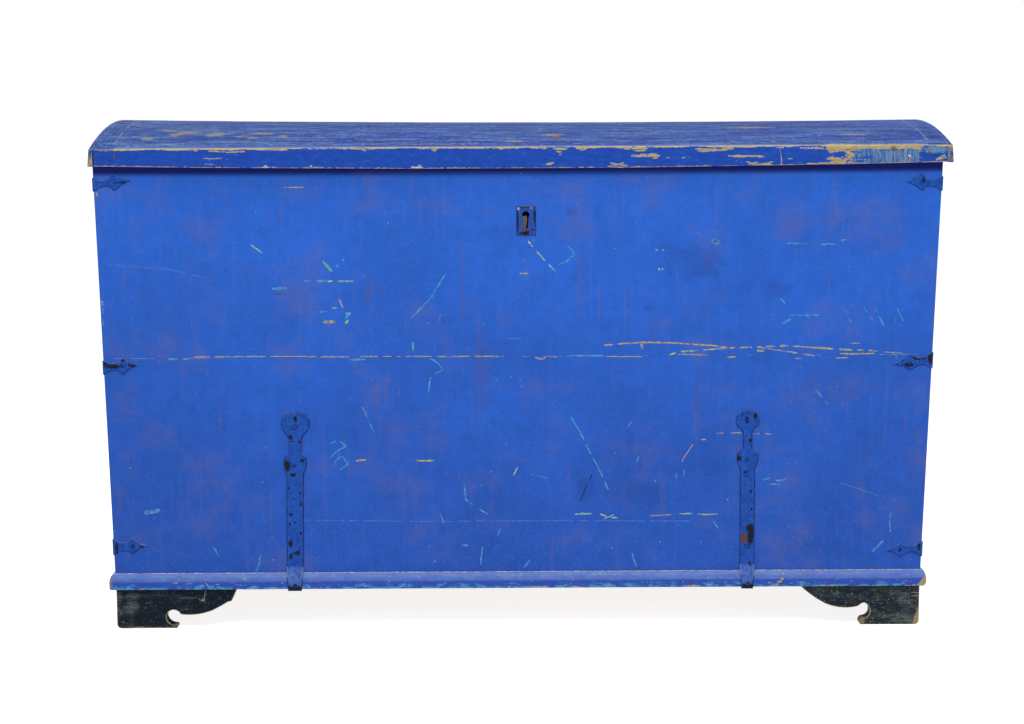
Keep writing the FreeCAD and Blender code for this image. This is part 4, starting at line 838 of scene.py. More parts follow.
# ---------------------------------------------------------------- scratches, in millimetres
# Each is its width, and the points, across and up, that it runs through.
FRONT_MARKS = {
    "orange": (
        (2.0, (-359.1, 678.9), (-327.3, 678.7)), (5.6, (-301.6, 474.2), (-283.4, 474.8)),
        (3.0, (-1.7, 546.3), (10.5, 546.6)), (3.0, (-162.4, 260.1), (-148.6, 259.7), (-134, 260.2)),
    ),
    "turquoise": (
        (4.2, (-402, 640.5), (-399.6, 640.4)), (3.4, (-202, 624.2), (-199.8, 623.6)),
        (3.4, (-114.9, 609.4), (-113.1, 609.3)), (2.9, (268.2, 606.5), (271.2, 606.5)),
        (3.4, (3.6, 567.6), (5.4, 566.4)), (4.2, (-271.4, 569.1), (-268.4, 567.9)),
        (4.2, (-280.6, 560.3), (-277.6, 558.5)), (3.8, (-329.5, 536.6), (-290.1, 536.7)),
        (5.5, (-378.3, 525.3), (-355.5, 526)), (4.2, (-306, 489.5), (-295.3, 490.9)),
        (2.9, (-113.9, 547.9), (-121.6, 535.7), (-129.3, 524.3)),
        (2.5, (-129.3, 524.3), (-135.5, 512.9), (-143.2, 503.8), (-155.5, 491.7), (-167.7, 479.5)),
        (2.9, (-57.4, 470.7), (-55.9, 468.8)), (2.9, (-52.2, 480.4), (-50.7, 478.9)),
        (2.5, (69.8, 587.9), (78.8, 581.7), (80.3, 574.9), (69.7, 565.1), (56, 559.1)),
        (3.8, (-538.6, 418.5), (-506.6, 418.6)), (3.4, (-261.3, 416.2), (-238.5, 416.7)),
        (2.9, (73.9, 420.5), (127.2, 420.2)),
        (2.8, (-140.2, 418.1), (-127.3, 410.4), (-119.8, 399.6), (-129, 395.1), (-136.6, 393.6),
         (-140.5, 381.3), (-141.5, 365.9)),
        (3.4, (-229.7, 385.6), (-227.6, 384.8)), (3.4, (-263, 356.4), (-260.9, 355.8)),
        (3.4, (-39.1, 384.4), (-37, 384.1)), (3.4, (-17.1, 388.6), (-15.3, 388)),
        (3.4, (-2.5, 384.2), (-0.4, 383.9)), (7.1, (292.8, 589.8), (300.7, 590.2)),
        (2.8, (405.5, 481), (428.3, 480.2), (452.6, 480.7)),
        (3.4, (394.9, 465.7), (402.5, 471.2), (410.1, 474.8)), (3.4, (381.7, 481.1), (383.9, 481.1)),
        (3.8, (393.1, 506.2), (397.7, 502.4), (400.8, 498.5)),
        (3.1, (403.1, 589.5), (416.7, 589.9), (433.4, 589.4)),
        (3.1, (454.6, 587.6), (465.2, 589.3), (475.8, 588.4)), (2.9, (481.8, 593.2), (492.4, 595.3)),
        (2.5, (489, 492.7), (495.2, 480.5), (501.4, 469.7)),
        (2.5, (520.9, 492.5), (527.1, 481.8), (534.8, 472.6)),
        (2.5, (537.6, 492.4), (543.9, 478.7), (551.6, 463.3)),
        (2.5, (571.1, 490.7), (575.8, 480), (581.2, 470.8)), (2.1, (569.7, 477), (566.8, 467.8)),
        (2.9, (570.4, 424.9), (571.2, 412.7)), (2.4, (447.6, 367.3), (458.4, 354.9), (467.6, 343.1)),
        (2.9, (479.6, 371.7), (482.6, 371.7)), (2.9, (507, 377.7), (509.1, 377.7)),
        (8.4, (-580.7, 181), (-568.4, 182.5), (-556, 185.5)), (3.4, (-604.1, 265), (-602.3, 265)),
        (3.4, (-601.4, 251), (-599.6, 251)), (3.8, (-398.7, 228.2), (-396.9, 227.9)),
        (3.8, (-392.3, 281.5), (-390.7, 281.2)), (2.9, (-475.8, 128.9), (-471.3, 121.1), (-467.7, 113.2)),
        (2.8, (-402.2, 116), (-405.6, 100.4), (-410.4, 87.1)),
        (2.8, (-293.7, 286.5), (-281.3, 292.6), (-269.2, 283.3), (-284.7, 274.1), (-294, 264.8)),
        (2.5, (-287.9, 258.6), (-275.6, 267.8), (-266.5, 255.4), (-278.9, 246.1)),
        (2.4, (-244, 344), (-235, 324.8), (-227, 306.2)),
        (2.8, (-89.2, 221.8), (-87.7, 210.9), (-86.3, 199.3), (-76.2, 191.4)),
        (3.4, (-66.4, 185), (-52.7, 175.9)), (3.1, (-63.1, 221.7), (-61.6, 220.1)),
        (3.1, (-48.6, 243), (-46.7, 241.8)), (2.8, (-126.3, 178.5), (-123.3, 170.7), (-120.3, 162.1)),
        (2.8, (-34.4, 153.8), (-37.5, 142.1)), (2.8, (-61.3, 126.6), (-63.3, 111), (-64.6, 96.9)),
        (3.1, (-93, 128.4), (-82.2, 127.7)), (5.5, (-136.6, 103.6), (-134.1, 102.6)),
        (2.8, (11.5, 104.3), (6.8, 98.1), (2.2, 92.6)),
        (3.1, (75.1, 326.8), (81.2, 315.3), (88.8, 303.7), (99.5, 281.2), (110.2, 259.5),
         (120.9, 239.3), (131.6, 213.4)),
        (2.8, (168.3, 319.5), (160.7, 308.7)), (2.8, (179.1, 265.3), (174.5, 254.5)),
        (3.4, (202.7, 226.4), (204.9, 226.4)), (2.8, (235.8, 238.6), (236.4, 229.3)),
        (2.8, (248.1, 233.9), (248.3, 243.2)),
        (3.4, (369.2, 227), (381.4, 230.7), (392.2, 225.3), (404.4, 228.4)),
        (2.8, (376.9, 220.8), (395.3, 220)), (2.8, (168.4, 115), (171.5, 103.4), (176.1, 91.6)),
        (3.8, (210.2, 131.3), (212.7, 131.3)), (3.8, (273.3, 131), (275.7, 131)),
        (3.8, (136.7, 122.4), (138.9, 122.4)), (3.8, (313.8, 197), (316.3, 196.7)),
        (2.8, (292.8, 163.7), (300.5, 152.7)), (3.8, (569.5, 194.8), (571.6, 194.2)),
        (2.8, (565.3, 176.2), (564.1, 160.6), (565.7, 145)),
        (3.4, (555.8, 132.5), (548.2, 124.8), (537.6, 114.7)), (3.4, (407.8, 155.2), (410.2, 154.6)),
        (3.4, (-635.9, 497.4), (-635.7, 469.9)),
        (2.2, (288.6, 593.6), (291.5, 595.8), (295.5, 596.2), (299.5, 594.6), (301.2, 593.4)),
        (2.0, (289.2, 592.8), (293, 591.2), (297.5, 591.2), (300.6, 592.8)),
    ),
    "yellow": (
        (3.1, (-409, 592.6), (-403, 587.4), (-391.8, 579.8)), (3.4, (-296.2, 536.7), (-253.7, 536.1)),
        (4.2, (-266.4, 489.3), (-260.5, 480.1), (-268.2, 470.9)), (3.4, (-258.8, 489.2), (-268.1, 478.6)),
        (2.9, (10.7, 595.8), (22.8, 581.3), (39.4, 562.2), (52.2, 550)),
        (4.2, (204, 581.1), (207.7, 580.7)), (3.4, (213.7, 581.3), (216.7, 580.7)),
        (4.2, (207.7, 552.2), (210.7, 551.8)), (3.4, (213.2, 552.4), (215.3, 551.8)),
        (2.9, (224.7, 420.7), (235.3, 424.3), (246, 426), (279.5, 428.4), (313.7, 431)),
        (5.0, (358.7, 426.6), (369.3, 426.7)), (2.9, (-6.2, 249.3), (-14, 236.1)),
        (3.4, (80.9, 175.4), (93.2, 176.3), (107, 175.6)),
        (3.4, (119.3, 175.5), (133.1, 170.8), (146.9, 169.1)), (2.9, (125.4, 167.7), (140.8, 174.5)),
        (2.8, (240.6, 174.9), (260.5, 175.7), (280.5, 173.7), (300.4, 174.5)),
    ),
    "green": (
        (4.7, (-300.3, 566.4), (-294.3, 559.5), (-286.8, 551.1)), (3.2, (-165.1, 442.8), (-164.8, 429)),
    ),
    "brown": (
        (2.1, (-375.4, 517), (-357.2, 517.5)), (2.7, (295.2, 590), (298.5, 590.3)),
        (2.2, (291.8, 593.6), (295, 594), (298, 593.4)),
    ),
    "faint": (
        (1.8, (-626.3, 563.6), (-577.9, 559.5), (-533.1, 555.5), (-473.6, 541.3)),
        (2.2, (-122.1, 485.4), (-125.8, 473.2)), (2.9, (-22, 447.4), (-0.7, 447)),
        (2.2, (-289.6, 249.3), (-270.7, 291)), (2.9, (13.6, 238.3), (27.4, 234.5), (39.6, 232)),
        (1.8, (485.7, 221.7), (518, 212.2), (547.3, 201.2)),
        (1.8, (-341.4, 168.8), (-157.2, 165.5), (57.8, 165.6), (257.5, 163.9)),
    ),
    "tan": (
        (2.7, (-276.8, 509.1), (-270.9, 495.4)), (2.7, (-287.6, 495.5), (-280, 495.4)),
        (2.0, (-498.9, 421.7), (-413.6, 421.8), (-337.4, 421.7), (-262.8, 420.4)),
        (2.0, (-246, 420.9), (-139.4, 420.6), (-26.7, 420.1)),
        (2.7, (20.5, 418.5), (29.7, 415.4), (37.3, 417.8)), (2.1, (44.9, 418.7), (54, 418.6)),
        (1.8, (128.7, 419.1), (183.5, 418.5)), (3.0, (-1.3, 373.7), (0.8, 372.8)),
        (3.0, (125.7, 436), (153.1, 438.6), (185, 440.3), (217, 439.8), (250.5, 437.9), (293.2, 434.6),
         (313.7, 431)),
        (3.3, (313.7, 431), (335.8, 431.5), (358.6, 432.2), (399.7, 434), (424.1, 432.5),
         (451.6, 430.2), (494.2, 427.5), (535.4, 425.6)),
        (1.8, (535.4, 425.6), (561.3, 422.9), (581.1, 421.8)), (4.5, (182, 437.8), (185.1, 430.1)),
        (2.0, (238.4, 421.6), (279.5, 421.3)),
        (2.4, (361.7, 432.2), (381.5, 428.3), (404.4, 425.1), (424.2, 422.1), (447.1, 418.4)),
        (2.4, (485.2, 421.6), (512.6, 421), (538.5, 421.3)), (2.7, (313, 416.7), (326.7, 417.6)),
        (2.4, (416.7, 414.4), (425.8, 414.1)), (2.4, (479.1, 415), (497.4, 415.2)),
        (2.1, (500.2, 437.6), (515.4, 437.2)), (3.3, (-254.2, 260), (-238.9, 262)),
        (1.7, (261.7, 283.4), (255, 273.2), (248, 263.4), (244.9, 255.6)),
        (2.0, (298.3, 299.9), (336.6, 300.3)), (2.0, (351.9, 298.4), (367.2, 299.2), (382.5, 298.2)),
        (2.7, (273.9, 290.2), (281.6, 290.4)), (1.8, (196, 172), (229.8, 174)),
        (3.3, (-641.1, 672.6), (-640.4, 667.5)), (3.6, (-637.1, 508.1), (-636.1, 502)),
    ),
    "dark": (
        (2.4, (107.1, 237.8), (97.9, 217.7), (88.6, 195.9)),
    ),
}
RAIL_MARKS = {
    "tan": (
        (3.3, (-496.7, 737.6), (-481.7, 736.9)), (3.9, (-492.2, 736.1), (-484.7, 735.7)),
        (2.4, (-469.7, 734.7), (-442.7, 733.4)), (2.7, (-442.7, 732.5), (-427.7, 733), (-414.1, 734)),
        (1.5, (-477.4, 724), (-460.9, 723), (-448.9, 723.8)), (1.8, (-474.6, 715.6), (-461.1, 714.3)),
        (2.1, (-386, 710.3), (-367.9, 709.9)), (1.8, (-316.8, 709), (-295.7, 709.2)),
        (3.3, (-379.5, 737.8), (-359.9, 738.3)), (3.6, (-250.2, 736.8), (-230.7, 737)),
        (2.4, (-238.2, 734.7), (-232.2, 734.3)), (3.6, (-134.5, 735.3), (-125.5, 735.3)),
        (2.4, (-131.5, 732.9), (-127, 733.5)), (3.9, (48.8, 735.5), (69.9, 735.1)),
        (4.5, (53.3, 731.6), (62.3, 730.3)), (2.1, (57.8, 726.8), (60.8, 726.4)),
        (4.5, (38.2, 711.9), (44.2, 712.7), (50.3, 714.5)), (3.9, (83.4, 735.9), (101.4, 736.1)),
        (2.4, (89.4, 733.2), (98.4, 733.7)), (2.4, (131.5, 708.1), (143.5, 710.7), (155.5, 714.2)),
        (2.4, (134.5, 714), (146.5, 711.3), (161.6, 708.8)), (1.8, (140.5, 707.4), (155.5, 707)),
        (3.9, (155.5, 734.9), (191.6, 735)), (2.7, (170.6, 731.5), (188.6, 732)),
        (4.2, (166.1, 724.4), (185.6, 723.7), (209.7, 723.8)), (3.0, (179.6, 726.1), (205.2, 726.3)),
        (2.7, (197.7, 720.3), (206.7, 720.8)), (2.1, (218.7, 721.1), (224.7, 720.7)),
        (1.8, (242.8, 720.6), (247.3, 720.6)), (3.3, (262.3, 734), (290.8, 733), (320.9, 734)),
        (3.3, (272.8, 730.4), (293.8, 731.5), (311.9, 732.6)), (2.1, (265.3, 731.3), (277.3, 729.5)),
        (3.6, (311.9, 723), (339, 723), (366.1, 722.1)), (2.1, (319.4, 721.4), (339, 721.5)),
        (1.5, (357, 720.6), (367.6, 721.8)),
        (2.7, (339, 714.7), (348.1, 711.4), (360.1, 710.4), (378.2, 709.7)),
        (2.1, (342.1, 709.9), (357.1, 714)), (2.4, (360.1, 709.2), (379.6, 714.2)),
        (1.8, (367.6, 712.2), (379.7, 709.7)), (2.4, (390, 736), (390.7, 728.5)),
        (1.8, (391, 728.5), (392.6, 716.5), (392, 710.5)), (3.6, (384, 734.9), (396, 735.1)),
        (3.9, (420.1, 734.4), (456.2, 733.9)), (2.4, (429.3, 710.9), (498.5, 712.3)),
        (3.9, (624.8, 715.3), (630.7, 718.8), (638.2, 723.3)), (2.4, (629.3, 716.1), (639.8, 719.1)),
        (2.1, (636.7, 724.2), (640.5, 718.2)), (2.4, (402.2, 718.3), (409.7, 718.2)),
    ),
    "pale": (
        (2.4, (-385.9, 711.9), (-381.4, 711.8)), (2.4, (-316.8, 710.8), (-313.7, 711.4)),
        (2.1, (-389, 710), (-380, 709.4)), (2.7, (582.6, 722.4), (587.1, 721.2)),
        (2.1, (-164.9, 709.1), (-146.8, 708.4)), (1.5, (-154.3, 711.4), (-149.8, 710.2)),
    ),
    "brown": (
        (2.4, (-611.3, 735.5), (-611.3, 728), (-611.6, 722)), (1.8, (613.5, 728.8), (613.3, 721.3)),
    ),
}
MOULDING_MARKS = (
    (4.8, (395.4, 75.1), (401.5, 74.3)), (5.4, (390.8, 69.6), (398.5, 70.5)),
    (3.6, (386.2, 65.6), (393.9, 66.5)), (2.4, (-535.8, 72.6), (-529.6, 73.5)),
    (1.8, (-517.4, 71.6), (-508.1, 72.2)), (2.1, (-488.1, 73), (-482.1, 66.7)),
)
FOOT_MARKS = (
    (0.9, (-488.8, 59.6), (-489.6, 53.8), (-490.8, 47.5), (-491.4, 42.8), (-495.2, 43.6), (-499.0, 46.0)),
    (0.8, (-495.2, 43.6), (-493.0, 46.0), (-490.8, 47.5)), (0.8, (-491.4, 42.8), (-489.4, 41.0)),
)
PLATE_MARKS = (
    (2.4, (6.4, 613.0), (6.0, 608.0), (6.6, 602.5)), (1.6, (7.2, 612.0), (9.6, 610.6), (14.0, 611.8)),
    (1.4, (-4.0, 609.0), (0.5, 610.5), (3.8, 609.2)),
)


# ---------------------------------------------------------------- ways of working
def only(*objects):
    """Selects these objects and nothing else, in object mode."""
    active = bpy.context.view_layer.objects.active
    if active is not None and active.mode != "OBJECT":
        bpy.ops.object.mode_set(mode="OBJECT")
    bpy.ops.object.select_all(action="DESELECT")
    for piece in objects:
        piece.select_set(True)
        bpy.context.view_layer.objects.active = piece


def edit(piece, mode="FACE"):
    only(piece)
    bpy.ops.object.mode_set(mode="EDIT")
    bpy.ops.mesh.select_mode(type=mode)
    bpy.ops.mesh.select_all(action="DESELECT")
    return bmesh.from_edit_mesh(piece.data)


def pick(shape, elements, test):
    """Selects the elements that pass the test, and says how many they are."""
    found = [part for part in elements if test(part)]
    for part in found:
        part.select_set(True)
    shape.select_flush_mode()
    bmesh.update_edit_mesh(bpy.context.object.data)
    return len(found)


def middle(edge):
    return (edge.verts[0].co + edge.verts[1].co) / 2.0


def is_sharp(edge, degrees=28.0):
    return len(edge.link_faces) == 2 and edge.calc_face_angle() > math.radians(degrees)


def finished(piece, body, slot, *nodes):
    """Gives the piece its shading, with flat faces kept flat, and joins it to the frame."""
    only(piece)
    bpy.ops.object.shade_smooth_by_angle(angle=SMOOTH_BELOW)
    bpy.ops.object.modifier_add(type="WEIGHTED_NORMAL")
    even = piece.modifiers[-1]
    even.keep_sharp = True
    even.use_face_influence = True
    bpy.ops.object.modifier_apply(modifier=even.name)
    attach(piece, body)
    if nodes:
        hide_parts(*nodes)
    only()
    return piece


def copied(node):
    """A copy of a frame part, merged into whole faces."""
    only(frame["nodes"][node])
    bpy.ops.object.duplicate()
    piece = bpy.context.object
    piece.name = node + "_dressed"
    piece.data.name = piece.name
    bpy.ops.object.parent_clear(type="CLEAR_KEEP_TRANSFORM")
    for key in [key for key in piece.keys() if key.startswith("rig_")]:
        del piece[key]
    bpy.ops.mesh.customdata_custom_splitnormals_clear()
    bpy.ops.object.mode_set(mode="EDIT")
    bpy.ops.mesh.select_mode(type="VERT")
    bpy.ops.mesh.select_all(action="SELECT")
    bpy.ops.mesh.remove_doubles(threshold=SAME)
    bpy.ops.mesh.dissolve_limited(angle_limit=ONE_FLAT)
    bpy.ops.object.mode_set(mode="OBJECT")
    return piece


def coated(piece, outer, edge=None, others=()):
    """Puts the finishes on: the outer one, the edge's, and others on the faces that pass a test."""
    bpy.ops.object.mode_set(mode="OBJECT")
    piece.data.materials.clear()
    for name in [outer, edge or outer] + [name for name, test in others]:
        piece.data.materials.append(finish_named(name))
    for index, (name, test) in enumerate(others):
        shape = edit(piece)
        if pick(shape, shape.faces, lambda face: test(face.normal, face.calc_center_median())):
            piece.active_material_index = index + 2
            bpy.ops.object.material_slot_assign()
    bpy.ops.object.mode_set(mode="OBJECT")


def rounded(piece, *rounds, clamp=False, outward=None, shortest=0.0):
    """Rounds sharp edges, each by the last offset whose test it passes; the new faces take the second finish.
    With outward, only the edges of faces whose normal passes that test. A point that the bevel throws past
    the piece's own reach, as it can at a blunt corner, is brought back to it."""
    only(piece)
    widest = max(offset for offset, test in rounds)
    weights = piece.data.attributes.get("bevel_weight_edge")
    if weights is None:
        weights = piece.data.attributes.new("bevel_weight_edge", "FLOAT", "EDGE")
    shape = bmesh.new()
    shape.from_mesh(piece.data)
    shape.edges.ensure_lookup_table()
    layer = shape.edges.layers.float["bevel_weight_edge"]
    for edge in shape.edges:
        edge[layer] = 0.0
        if outward is not None and not any(outward(face.normal) for face in edge.link_faces):
            continue
        if is_sharp(edge) and edge.calc_length() >= shortest:
            for offset, test in rounds:
                if test is None or test(middle(edge)):
                    edge[layer] = offset / widest
    low = [min(corner.co[axis] for corner in shape.verts) for axis in range(3)]
    high = [max(corner.co[axis] for corner in shape.verts) for axis in range(3)]
    shape.to_mesh(piece.data)
    shape.free()
    bpy.ops.object.modifier_add(type="BEVEL")
    change = piece.modifiers[-1]
    change.width = widest
    change.segments = 2
    change.limit_method = "WEIGHT"
    change.use_clamp_overlap = clamp
    change.material = 1
    change.face_strength_mode = "FSTR_ALL"
    bpy.ops.object.modifier_apply(modifier=change.name)
    for corner in piece.data.vertices:
        corner.co = [min(max(value, least), most) for value, least, most in zip(corner.co, low, high)]


def hammered(piece, depth, size=0.012):
    """Uneven surface of hand work."""
    only(piece)
    texture = bpy.data.textures.new(piece.name, "CLOUDS")
    texture.noise_scale = size
    texture.noise_depth = 1
    bpy.ops.object.modifier_add(type="DISPLACE")
    change = piece.modifiers[-1]
    change.texture = texture
    change.texture_coords = "LOCAL"
    change.strength = depth
    change.mid_level = 0.5
    bpy.ops.object.modifier_apply(modifier=change.name)


def cut_across(axis, at):
    """Cuts all that is in edit mode where one coordinate has this value."""
    spot, normal = [0.0] * 3, [0.0] * 3
    spot[axis], normal[axis] = at, 1.0
    bpy.ops.mesh.select_all(action="SELECT")
    bpy.ops.mesh.bisect(plane_co=spot, plane_no=normal)


def sliced(piece, axis, step):
    """Cuts the faces across at even steps, so that they can be made uneven."""
    low = min(corner[axis] for corner in piece.bound_box)
    high = max(corner[axis] for corner in piece.bound_box)
    edit(piece)
    count = int((high - low) / step)
    for index in range(1, count):
        cut_across(axis, low + (high - low) * index / count)


def knocked(piece, spot, outward):
    """Cuts a knocked corner off, outside a plane through the spot."""
    edit(piece)
    bpy.ops.mesh.select_all(action="SELECT")
    bpy.ops.mesh.bisect(plane_co=spot, plane_no=outward, use_fill=True, clear_outer=True)
    bpy.ops.object.mode_set(mode="OBJECT")


def scribed(piece, axis, at, depth, test=None):
    """A scribed line over the top of the lid, where one coordinate has this value."""
    edit(piece, "EDGE")
    cut_across(axis, at)
    bpy.ops.mesh.select_all(action="DESELECT")
    shape = bmesh.from_edit_mesh(piece.data)

    def in_line(part, corners, place):
        """Whether an edge or a corner lies on the line and on upper faces alone."""
        level = all(abs(corner.co[axis] - at) < SAME for corner in corners)
        upper = all(face.normal.z > UPPER for face in part.link_faces)
        return level and upper and (test is None or test(place))

    if not pick(shape, shape.edges, lambda edge: in_line(edge, edge.verts, middle(edge))):
        raise ValueError("no face of %s lies on the scribed line" % piece.name)
    bpy.ops.mesh.bevel(offset=depth * 0.9, segments=2, profile=0.5, affect="EDGES", clamp_overlap=False)
    bpy.ops.mesh.select_all(action="DESELECT")
    bpy.ops.mesh.select_mode(type="VERT")
    shape = bmesh.from_edit_mesh(piece.data)
    pick(shape, shape.verts, lambda corner: in_line(corner, [corner], corner.co))
    bpy.ops.transform.translate(value=(0.0, 0.0, -depth))
    bpy.ops.object.mode_set(mode="OBJECT")


def dressed(node, body, slot, outer, edge, *rounds, others=(), hammer=None, **limits):
    """A frame part taken through all the steps: copied, coated, rounded, hammered and joined to the frame."""
    piece = copied(node)
    coated(piece, outer, edge, others)
    rounded(piece, *rounds, **limits)
    if hammer is not None:
        hammered(piece, *hammer)
    return finished(piece, body, slot, node)


def plain(piece, finish):
    """Turns all the faces outwards and puts one finish on."""
    edit(piece)
    bpy.ops.mesh.select_all(action="SELECT")
    bpy.ops.mesh.normals_make_consistent(inside=False)
    bpy.ops.object.mode_set(mode="OBJECT")
    piece.data.materials.clear()
    piece.data.materials.append(finish_named(finish))


def fit_finish(node, finish):
    """A frame part that keeps its own shape and takes a finish."""
    for held in frame["nodes"][node].material_slots:
        held.material = finish_named(finish)


def shells(node):
    """The separate bodies in a frame part, each as a list of its corners."""
    shape = bmesh.new()
    shape.from_mesh(frame["nodes"][node].data)
    bmesh.ops.remove_doubles(shape, verts=shape.verts, dist=SAME)
    left = set(shape.verts)
    found = []
    for start in shape.verts:
        if start not in left:
            continue
        left.remove(start)
        group, reached = [], [start]
        while reached:
            corner = reached.pop()
            group.append(corner.co.copy())
            for link in corner.link_edges:
                other = link.other_vert(corner)
                if other in left:
                    left.remove(other)
                    reached.append(other)
        found.append(group)
    shape.free()
    return sorted(found, key=lambda group: (round(group[0].x, 3), round(group[0].z, 3), group[0].y))


def measured_nail(corners):
    """Where a nail's head sits, which way it points, its radius and its rise."""
    spread = [max(c[i] for c in corners) - min(c[i] for c in corners) for i in range(3)]
    axis = spread.index(max(spread))
    low = min(c[axis] for c in corners)
    high = max(c[axis] for c in corners)
    ends = []
    for value in (low, high):
        near = [c for c in corners if abs(c[axis] - value) < 0.002]
        centre = sum(near, Vector()) / len(near)
        ends.append((max((c - centre).length for c in near), centre))
    (low_size, low_centre), (high_size, high_centre) = ends
    head, tip = (low_centre, high_centre) if low_size > high_size else (high_centre, low_centre)
    out = (head - tip).normalized()
    reach = [((c - head) - out * (c - head).dot(out)).length for c in corners]
    radius = max(reach)
    rim = [(c - head).dot(out) for c, far in zip(corners, reach) if far > radius * 0.93]
    top = max((c - head).dot(out) for c in corners)
    return head + out * min(rim), out, radius, max(top - min(rim), 0.0006)


def rose_head():
    """A hand-forged nail head of one millimetre, with a few hammered faces and a short shank."""
    only()
    bpy.ops.mesh.primitive_cylinder_add(vertices=9, radius=1.0, depth=0.5, location=(0, 0, 0.25))
    head = bpy.context.object
    shape = edit(head)
    pick(shape, shape.faces, lambda face: face.normal.z > 0.9)
    bpy.ops.mesh.inset(thickness=0.28)
    bpy.ops.transform.translate(value=(0.05, 0.0, 0.32))
    bpy.ops.mesh.inset(thickness=0.34)
    bpy.ops.transform.translate(value=(-0.06, 0.04, 0.18))
    shape = edit(head)
    pick(shape, shape.faces, lambda face: face.normal.z < -0.9)
    bpy.ops.mesh.inset(thickness=0.55)
    bpy.ops.mesh.extrude_region_move(TRANSFORM_OT_translate={"value": (0.0, 0.0, -3.0)})
    bpy.ops.transform.resize(value=(0.5, 0.5, 1.0))
    bpy.ops.object.mode_set(mode="OBJECT")
    return head


def forged_nails(node, body, finish="painted_nail"):
    """Rose-headed nails where a frame part has its nails, no two alike."""
    luck = random.Random(bpy.context.scene.chest_wear.seed + len(node))
    pattern = rose_head()
    made = []
    for corners in shells(node):
        spot, out, radius, rise = measured_nail(corners)
        only(pattern)
        bpy.ops.object.duplicate()
        nail = bpy.context.object
        turn = out.to_track_quat("Z", "Y").to_matrix().to_4x4()
        spin = Matrix.Rotation(luck.uniform(0, math.tau), 4, "Z")
        shares = [luck.uniform(least, 1.0) for least in (0.92, 0.86, 0.92)]
        size = [share * full for share, full in zip(shares, (radius, radius, rise))]
        nail.matrix_world = Matrix.Translation(spot) @ turn @ spin @ Matrix.Diagonal(size + [1.0])
        made.append(nail)
    bpy.data.objects.remove(pattern)
    only(*made)
    bpy.ops.object.transform_apply(location=True, rotation=True, scale=True)
    if len(made) > 1:
        bpy.ops.object.join()
    piece = bpy.context.object
    piece.name = node + "_forged"
    piece.data.name = piece.name
    plain(piece, finish)
    return finished(piece, body, "nail_iron", node)


def wandering(points, luck, step=3.4, sway=0.32):
    """The stroke's points, with more between them that stray a little."""
    line = [Vector(points[0])]
    for start, end in zip(points, points[1:]):
        run = Vector(end) - Vector(start)
        count = max(1, int(run.length / step))
        side = Vector((-run.y, run.x)).normalized() if run.length else Vector((0, 0))
        for index in range(1, count + 1):
            stray = luck.uniform(-sway, sway) if index < count else 0.0
            line.append(Vector(start) + run * (index / count) + side * stray)
    return line


def slivers(name, finish, marks, plane, body, slot, gaps=0.1):
    """Thin scratches and flakes lying on an upright face: each a width and the points it runs through."""
    wear = bpy.context.scene.chest_wear
    luck = random.Random(wear.seed + sum(ord(letter) for letter in name))
    curve = bpy.data.curves.new(name, "CURVE")
    curve.dimensions = "3D"
    curve.bevel_depth = 1.0
    curve.bevel_resolution = 1
    curve.use_fill_caps = True
    for width, *points in marks:
        line = wandering(points, luck)
        parts, part = [], []
        for index, point in enumerate(line):
            if len(part) >= 3 and len(line) - index > 3 and luck.random() < gaps:
                parts.append(part)
                part = []
                continue
            part.append(point)
        parts.append(part)
        for part in parts:
            if len(part) < 2:
                continue
            spline = curve.splines.new("POLY")
            spline.points.add(len(part) - 1)
            for index, (spot, point) in enumerate(zip(spline.points, part)):
                last = index in (0, len(part) - 1)
                share = luck.uniform(0.35, 0.6) if last else luck.uniform(0.65, 1.15)
                if len(part) == 2:
                    share = luck.uniform(0.7, 1.0)
                spot.co = (point.x * MM, plane, point.y * MM, 1.0)
                spot.radius = width * MM * 0.5 * share
    piece = bpy.data.objects.new(name, curve)
    bpy.context.scene.collection.objects.link(piece)
    only(piece)
    bpy.ops.object.convert(target="MESH")
    piece = bpy.context.object
    edit(piece)
    bpy.ops.mesh.select_all(action="SELECT")
    bpy.ops.mesh.remove_doubles(threshold=0.000001)
    bpy.ops.transform.resize(value=(1.0, wear.scratch_rise, 1.0), center_override=(0.0, plane, 0.0))
    plain(piece, finish)
    return finished(piece, body, slot)


# ---------------------------------------------------------------- the chest's pieces
def end_face(z, side):
    """Where the outer face of an end board is at this height."""
    rim, lean = EDGE_RIGHT if side > 0 else EDGE_LEFT
    return rim + side * lean * (z - EDGE_HEIGHT)


def to_end(spot):
    """How far inside the nearer end face a spot is."""
    return min(spot.x - end_face(spot.z, -1), end_face(spot.z, 1) - spot.x)


def to_long(spot):
    """How far inside the front or back face a spot is."""
    return min(spot.y - FRONT, BACK - spot.y)


def on_long_face(spot):
    """Joint lines of the dovetails, closed under the paint of the front and back."""
    return to_long(spot) < CLOSE and CLOSE < to_end(spot) < JOINT_REACH


def on_end_face(spot):
    return to_end(spot) < CLOSE and CLOSE < to_long(spot) < JOINT_REACH


def on_corner(spot):
    return to_end(spot) < CLOSE and to_long(spot) < CLOSE


def on_seam(spot):
    return abs(spot.z - SEAM) < 0.0005 and (to_long(spot) < CLOSE or to_end(spot) < CLOSE)


def at_rim(spot):
    return spot.z > BODY_TOP - CLOSE


def at_foot_top(spot):
    return spot.z > BODY_BOTTOM - 0.0016


def in_keyhole(normal, centre):
    """Whether a face is one of the keyhole's sides."""
    beside = abs(centre.x - KEYHOLE_X) < KEYHOLE_REACH and KEYHOLE_LOW < centre.z < KEYHOLE_HIGH
    return beside and abs(normal.y) < 0.3


